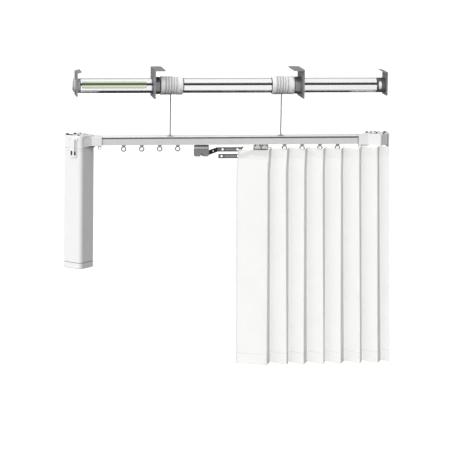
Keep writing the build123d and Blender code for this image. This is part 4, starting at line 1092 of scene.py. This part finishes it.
# Painted shade: dark strips below the two rail sockets, for the shadow under each box.
moulded("socket_shadow_strip", [([(-364.0, -199.6), (-338.5, -198.6), (-337.6, -200.6), (-341.0, -202.9), (-347.0, -202.3),
                          (-356.0, -200.9)], 4.0, 14.6, 0.5)], lambda u, v, w: (u, YT - w, v), "black_plastic", "track")
moulded("idler_shadow_strip", [([(351.5, -199.5), (375.5, -199.5), (374.0, -201.8), (368.0, -202.6), (357.0, -202.3),
                         (353.0, -201.6)], 8.0, 10.6, 0.5)], lambda u, v, w: (u, YT - w, v), "clip_grey", "track")

# Carriers: a pale clamp plate and a row of dark teeth above it; the teeth's black is painted shade for the slots of the
# tooth row.
for side, xc, body in (("left", -61.5, "left_carriage"), ("right", 93.5, "right_carriage")):
    def front(u, v, w, xc=xc):
        return (xc + u, YT - w, v)
    if side == "left":
        moulded("carrier_plate_left", [(rounded(0, -207.4, 37.8, 5.4, 1.0), 3.4, 1.3, 0.45)], front, "band_grey", body)
    else:
        moulded("carrier_plate_right", [(rounded(u, -207.9, 16.4, 7.4, 3.0), 3.4, 1.3, 0.45) for u in (-9.6, 9.6)],
                front, "comb_grey", body)
    if side == "left":
        moulded("carrier_slot_shade_left",
                [(rounded(u, -202.6, 4.6, 3.6, 0.8), 1.3, 3.0, 0.6) for u in (-15.5, -7.8, 0.0, 7.8, 15.5)],
                front, "black_plastic", body)
    else:
        moulded("carrier_comb_right", [(rounded(0, -202.3, 36.8, 4.2, 1.2), 2.6, 1.25, 0.4)], front, "comb_grey", body)
        moulded("carrier_slot_shade_right",
                [(rounded(u, -202.4, 3.6, 3.6, 1.2), 3.6, 0.9, 0.4) for u in (-15.2, -2.9, 2.9, 15.2)],
                front, "black_plastic", body)


def long_strip(name, section, material):
    """Strip of constant section along the tube; section points are (mm along the surface, radius) at the keyway."""
    bm = bmesh.new()
    a0 = math.radians(158.0)
    rows = []
    for x in [-377.3 + 763.1 * i / 24 for i in range(25)]:
        rows.append([bm.verts.new(Vector((x, r * math.cos(a0 + u / 19.0), AX + r * math.sin(a0 + u / 19.0))) * MM)
                     for u, r in section])
    n = len(section)
    for r in range(len(rows) - 1):
        for i in range(n):
            j = (i + 1) % n
            bm.faces.new((rows[r][i], rows[r][j], rows[r + 1][j], rows[r + 1][i]))
    bm.faces.new(rows[0][::-1])
    bm.faces.new(rows[-1])
    bmesh.ops.recalc_face_normals(bm, faces=bm.faces)
    me = bpy.data.meshes.new(name)
    bm.to_mesh(me)
    bm.free()
    me.materials.append(made[material])
    ob = bpy.data.objects.new(name, me)
    bpy.context.scene.collection.objects.link(ob)
    sharpen(ob, 50.0)
    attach(ob, "roller")
    return ob


# The keyway holds a filler strip, and a dark strip covers most of it: its black is painted shade for the keyway groove.
long_strip("keyway_filler", [(-1.8, 15.7), (-1.8, 18.7), (-1.5, 18.97), (0.0, 19.0), (1.5, 18.97), (1.8, 18.7), (1.8, 15.7)],
           "tube_aluminium")
long_strip("keyway_shade_strip", [(-0.7, 18.9), (-0.7, 19.06), (-0.5, 19.11)] + [(-0.5 + 5.3 * k / 10, 19.12) for k in range(1, 10)]
           + [(4.8, 19.11), (5.0, 19.06), (5.0, 18.9)], "black_plastic")


def film_sheet():
    """Thin film stuck on the tube, with round corners, a little off its surface."""
    bm = bmesh.new()
    uvl = bm.loops.layers.uv.new("UVMap")
    x0, x1, a0, a1 = -374.0, -210.0, 141.0, 195.0
    high = math.radians(a1 - a0) * 19.0
    cols, rows = 60, 22
    layers = []
    for r in (19.24, 19.14):
        grid = []
        for i in range(cols + 1):
            u = i / cols
            x = x0 + (x1 - x0) * u
            near = min(x - x0, x1 - x)
            cut = 1.5 - math.sqrt(max(0.0, 1.5 ** 2 - (1.5 - near) ** 2)) if near < 1.5 else 0.0
            col = []
            for j in range(rows + 1):
                d = cut + (high - 2 * cut) * j / rows
                a = math.radians(a0) + d / 19.0
                p = Vector((x, r * math.cos(a), AX + r * math.sin(a))) * MM
                col.append((bm.verts.new(p), (x * MM, d * MM)))
            grid.append(col)
        layers.append(grid)

    def face(quad):
        f = bm.faces.new([q[0] for q in quad])
        for lp, q in zip(f.loops, quad):
            lp[uvl].uv = q[1]

    for grid in layers:
        for i in range(cols):
            for j in range(rows):
                face((grid[i][j], grid[i + 1][j], grid[i + 1][j + 1], grid[i][j + 1]))
    top_g, low_g = layers
    for i in range(cols):
        for j in (0, rows):
            face((top_g[i][j], top_g[i + 1][j], low_g[i + 1][j], low_g[i][j]))
    for i in (0, cols):
        for j in range(rows):
            face((top_g[i][j], top_g[i][j + 1], low_g[i][j + 1], low_g[i][j]))
    bmesh.ops.recalc_face_normals(bm, faces=bm.faces)
    me = bpy.data.meshes.new("film_sheet")
    bm.to_mesh(me)
    bm.free()
    me.materials.append(made["green_film"])
    ob = bpy.data.objects.new("film_sheet", me)
    bpy.context.scene.collection.objects.link(ob)
    sharpen(ob, 40.0)
    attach(ob, "roller")
    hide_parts("tube_film")


film_sheet()

# Rail: a pale top strip, whose white is a painted highlight for the lit top face; a dark line along its front upper
# edge, painted shade for the groove there; a low lip at the back.
top_highlight = moulded("rail_top_highlight", [(rounded(13.0, YT, 690.6, 33.6, 0.4), -178.05, 0.27, 0.05)], top, "highlight_white", "track")
moulded("rail_lip", [(rounded(13.0, YT + 16.3, 690.6, 1.0, 0.3), -178.0, 0.7, 0.1)], top, "band_grey", "track")
# The bright rail top right below the roller would light its underside; the studio leaves that side dark.
for ob in (top_highlight, nodes["track_rail"]):
    ob.visible_glossy = False
    ob.visible_diffuse = False


def rail_front(u, v, w):
    return (u, YT - 17.0 - w, v)


# painted shade: a dark strip over the groove along the rail's front upper edge
moulded("rail_edge_shade", [(rounded(13.0, -179.75, 690.6, 3.4, 0.4), -0.2, 0.42, 0.05)], rail_front, "edge_shade_grey", "track")


def cup_window():
    """Pale oval lens that fills the window of the idler cup, curved like the cup."""
    bm = bmesh.new()
    rows = []
    for r_cyl in (18.8, 17.4):
        rings = []
        for f in (0.0, 0.2, 0.4, 0.6, 0.8, 0.93, 1.0):
            ring = []
            for k in range(40):
                a = 2 * math.pi * k / 40
                x, z = 395.2 + 4.15 * f * math.cos(a), 1.0 + 10.85 * f * math.sin(a)
                rr = r_cyl + (0.35 * (1 - f * f) if r_cyl > 18 else 0.0) - (0.25 if f == 1.0 and r_cyl > 18 else 0.0)
                p = Vector((x, -math.sqrt(max(0.0, rr * rr - z * z)), AX + z)) * MM
                ring.append(p)
                if f == 0.0:
                    break
            rings.append([bm.verts.new(p) for p in ring])
        rows.append(rings)
    for rings in rows:
        for k in range(40):
            bm.faces.new((rings[0][0], rings[1][k], rings[1][(k + 1) % 40]))
        for r in range(1, len(rings) - 1):
            for k in range(40):
                q = (k + 1) % 40
                bm.faces.new((rings[r][k], rings[r + 1][k], rings[r + 1][q], rings[r][q]))
    for k in range(40):
        q = (k + 1) % 40
        bm.faces.new((rows[0][-1][k], rows[1][-1][k], rows[1][-1][q], rows[0][-1][q]))
    bmesh.ops.recalc_face_normals(bm, faces=bm.faces)
    me = bpy.data.meshes.new("cup_window")
    bm.to_mesh(me)
    bm.free()
    me.materials.append(made["white_plastic"])
    ob = bpy.data.objects.new("cup_window", me)
    bpy.context.scene.collection.objects.link(ob)
    sharpen(ob, 50.0)
    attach(ob, "root")


cup_window()

# --------------------------------------------------------------- world, light
world = bpy.data.worlds.new("studio")
bpy.context.scene.world = world
world.use_nodes = True
wt = world.node_tree
wt.nodes.clear()
w_out = wt.nodes.new("ShaderNodeOutputWorld")
seen = wt.nodes.new("ShaderNodeBackground")
seen.inputs["Color"].default_value = (1, 1, 1, 1)
seen.inputs["Strength"].default_value = 1.1
lit = wt.nodes.new("ShaderNodeBackground")
tc = wt.nodes.new("ShaderNodeTexCoord")


def sky_share(toward, lo, hi, a, b):
    """Smooth change of the studio's brightness along one direction."""
    dot = wt.nodes.new("ShaderNodeVectorMath")
    dot.operation = "DOT_PRODUCT"
    dot.inputs[1].default_value = Vector(toward).normalized()
    wt.links.new(tc.outputs["Generated"], dot.inputs[0])
    g = wt.nodes.new("ShaderNodeMapRange")
    g.interpolation_type = "SMOOTHSTEP"
    g.inputs["From Min"].default_value = lo
    g.inputs["From Max"].default_value = hi
    g.inputs["To Min"].default_value = a
    g.inputs["To Max"].default_value = b
    wt.links.new(dot.outputs["Value"], g.inputs["Value"])
    return g.outputs["Result"]


sky = wt.nodes.new("ShaderNodeMath")
sky.operation = "MULTIPLY"
path = wt.nodes.new("ShaderNodeLightPath")


def product(a, b):
    n = wt.nodes.new("ShaderNodeMath")
    n.operation = "MULTIPLY"
    wt.links.new(a, n.inputs[0])
    wt.links.new(b, n.inputs[1])
    return n.outputs[0]


# Matt surfaces are lit from the upper front; shiny ones mirror a pale room with a dark floor and a dim back.
matt = sky_share((-0.14, -0.42, 0.90), -0.42, 0.48, 0.03, 1.80)
shiny = product(sky_share((0.0, 0.62, -0.785), 0.48, 0.72, 1.34, 0.0), sky_share((0.0, 1.0, 0.2), 0.45, 0.95, 1.0, 0.45))
kind = wt.nodes.new("ShaderNodeMix")
wt.links.new(path.outputs["Is Glossy Ray"], kind.inputs[0])
wt.links.new(matt, kind.inputs[2])
wt.links.new(shiny, kind.inputs[3])
wt.links.new(kind.outputs[0], sky.inputs[0])
wt.links.new(sky_share((-1.0, 0.0, 0.0), -0.70, -0.12, 0.14, 1.0), sky.inputs[1])
wt.links.new(sky.outputs[0], lit.inputs["Strength"])
mixer = wt.nodes.new("ShaderNodeMixShader")
wt.links.new(path.outputs["Is Camera Ray"], mixer.inputs["Fac"])
wt.links.new(lit.outputs["Background"], mixer.inputs[1])
wt.links.new(seen.outputs["Background"], mixer.inputs[2])
wt.links.new(mixer.outputs["Shader"], w_out.inputs["Surface"])


def soft_box(name, place, aim, size, power):
    la = bpy.data.lights.new(name, "AREA")
    la.shape = "SQUARE"
    la.size = size
    la.energy = power
    ob = bpy.data.objects.new(name, la)
    bpy.context.scene.collection.objects.link(ob)
    ob.location = place
    ob.rotation_mode = "QUATERNION"
    ob.rotation_quaternion = (Vector(aim) - Vector(place)).to_track_quat("-Z", "Y")
    return ob


soft_box("key", (-3.2, -3.6, 2.2), (0, 0, -0.35), 2.6, 40.0)

# The floor is a plain pale one, far enough down for the rail to be lowered.
bm = bmesh.new()
bmesh.ops.create_circle(bm, cap_ends=True, segments=128, radius=70.0)
fme = bpy.data.meshes.new("floor")
bm.to_mesh(fme)
bm.free()
floor = bpy.data.objects.new("floor", fme)
bpy.context.scene.collection.objects.link(floor)
floor.location = (0, 0, -2.6)
fm, fnt, fsh = new_material("floor_paint")
fc = ramp(fnt, noise(fnt, coords(fnt), 3.0, 4.0), [(0.3, (0.90, 0.90, 0.90)), (0.7, (0.93, 0.93, 0.93))])
fnt.links.new(fc, fsh.inputs["Base Color"])
fsh.inputs["Roughness"].default_value = 0.85
fsh.inputs["Emission Color"].default_value = (1, 1, 1, 1)
fsh.inputs["Emission Strength"].default_value = 0.25
fme.materials.append(fm)
floor.visible_diffuse = False
floor.visible_glossy = False

# --------------------------------------------------------------------- camera
AZ, EL, ROLL = math.radians(-9.0), math.radians(10.0), math.radians(0.915)
LENS = 200.0
WIDE = 460 * 2.55 * MM
back = Vector((math.sin(AZ) * math.cos(EL), -math.cos(AZ) * math.cos(EL), math.sin(EL)))
level = Vector((math.cos(AZ), math.sin(AZ), 0.0))
upward = back.cross(level)
across = level * math.cos(ROLL) + upward * math.sin(ROLL)
upright = upward * math.cos(ROLL) - level * math.sin(ROLL)
aim = across * 0.0059 - upright * 0.4128
cam_data = bpy.data.cameras.new("camera")
cam_data.lens = LENS
cam_data.sensor_width = 36.0
cam = bpy.data.objects.new("camera", cam_data)
bpy.context.scene.collection.objects.link(cam)
cam.rotation_mode = "QUATERNION"
cam.rotation_quaternion = Matrix((across, upright, back)).transposed().to_quaternion()
cam.location = aim + back * (WIDE * LENS / 36.0)
cam_data.clip_start, cam_data.clip_end = 0.1, 200.0
cam_data.dof.use_dof = False
bpy.context.scene.camera = cam
view = bpy.context.scene.view_settings
view.view_transform = "Standard"
view.look = "None"
view.exposure = 0.0
view.gamma = 1.0
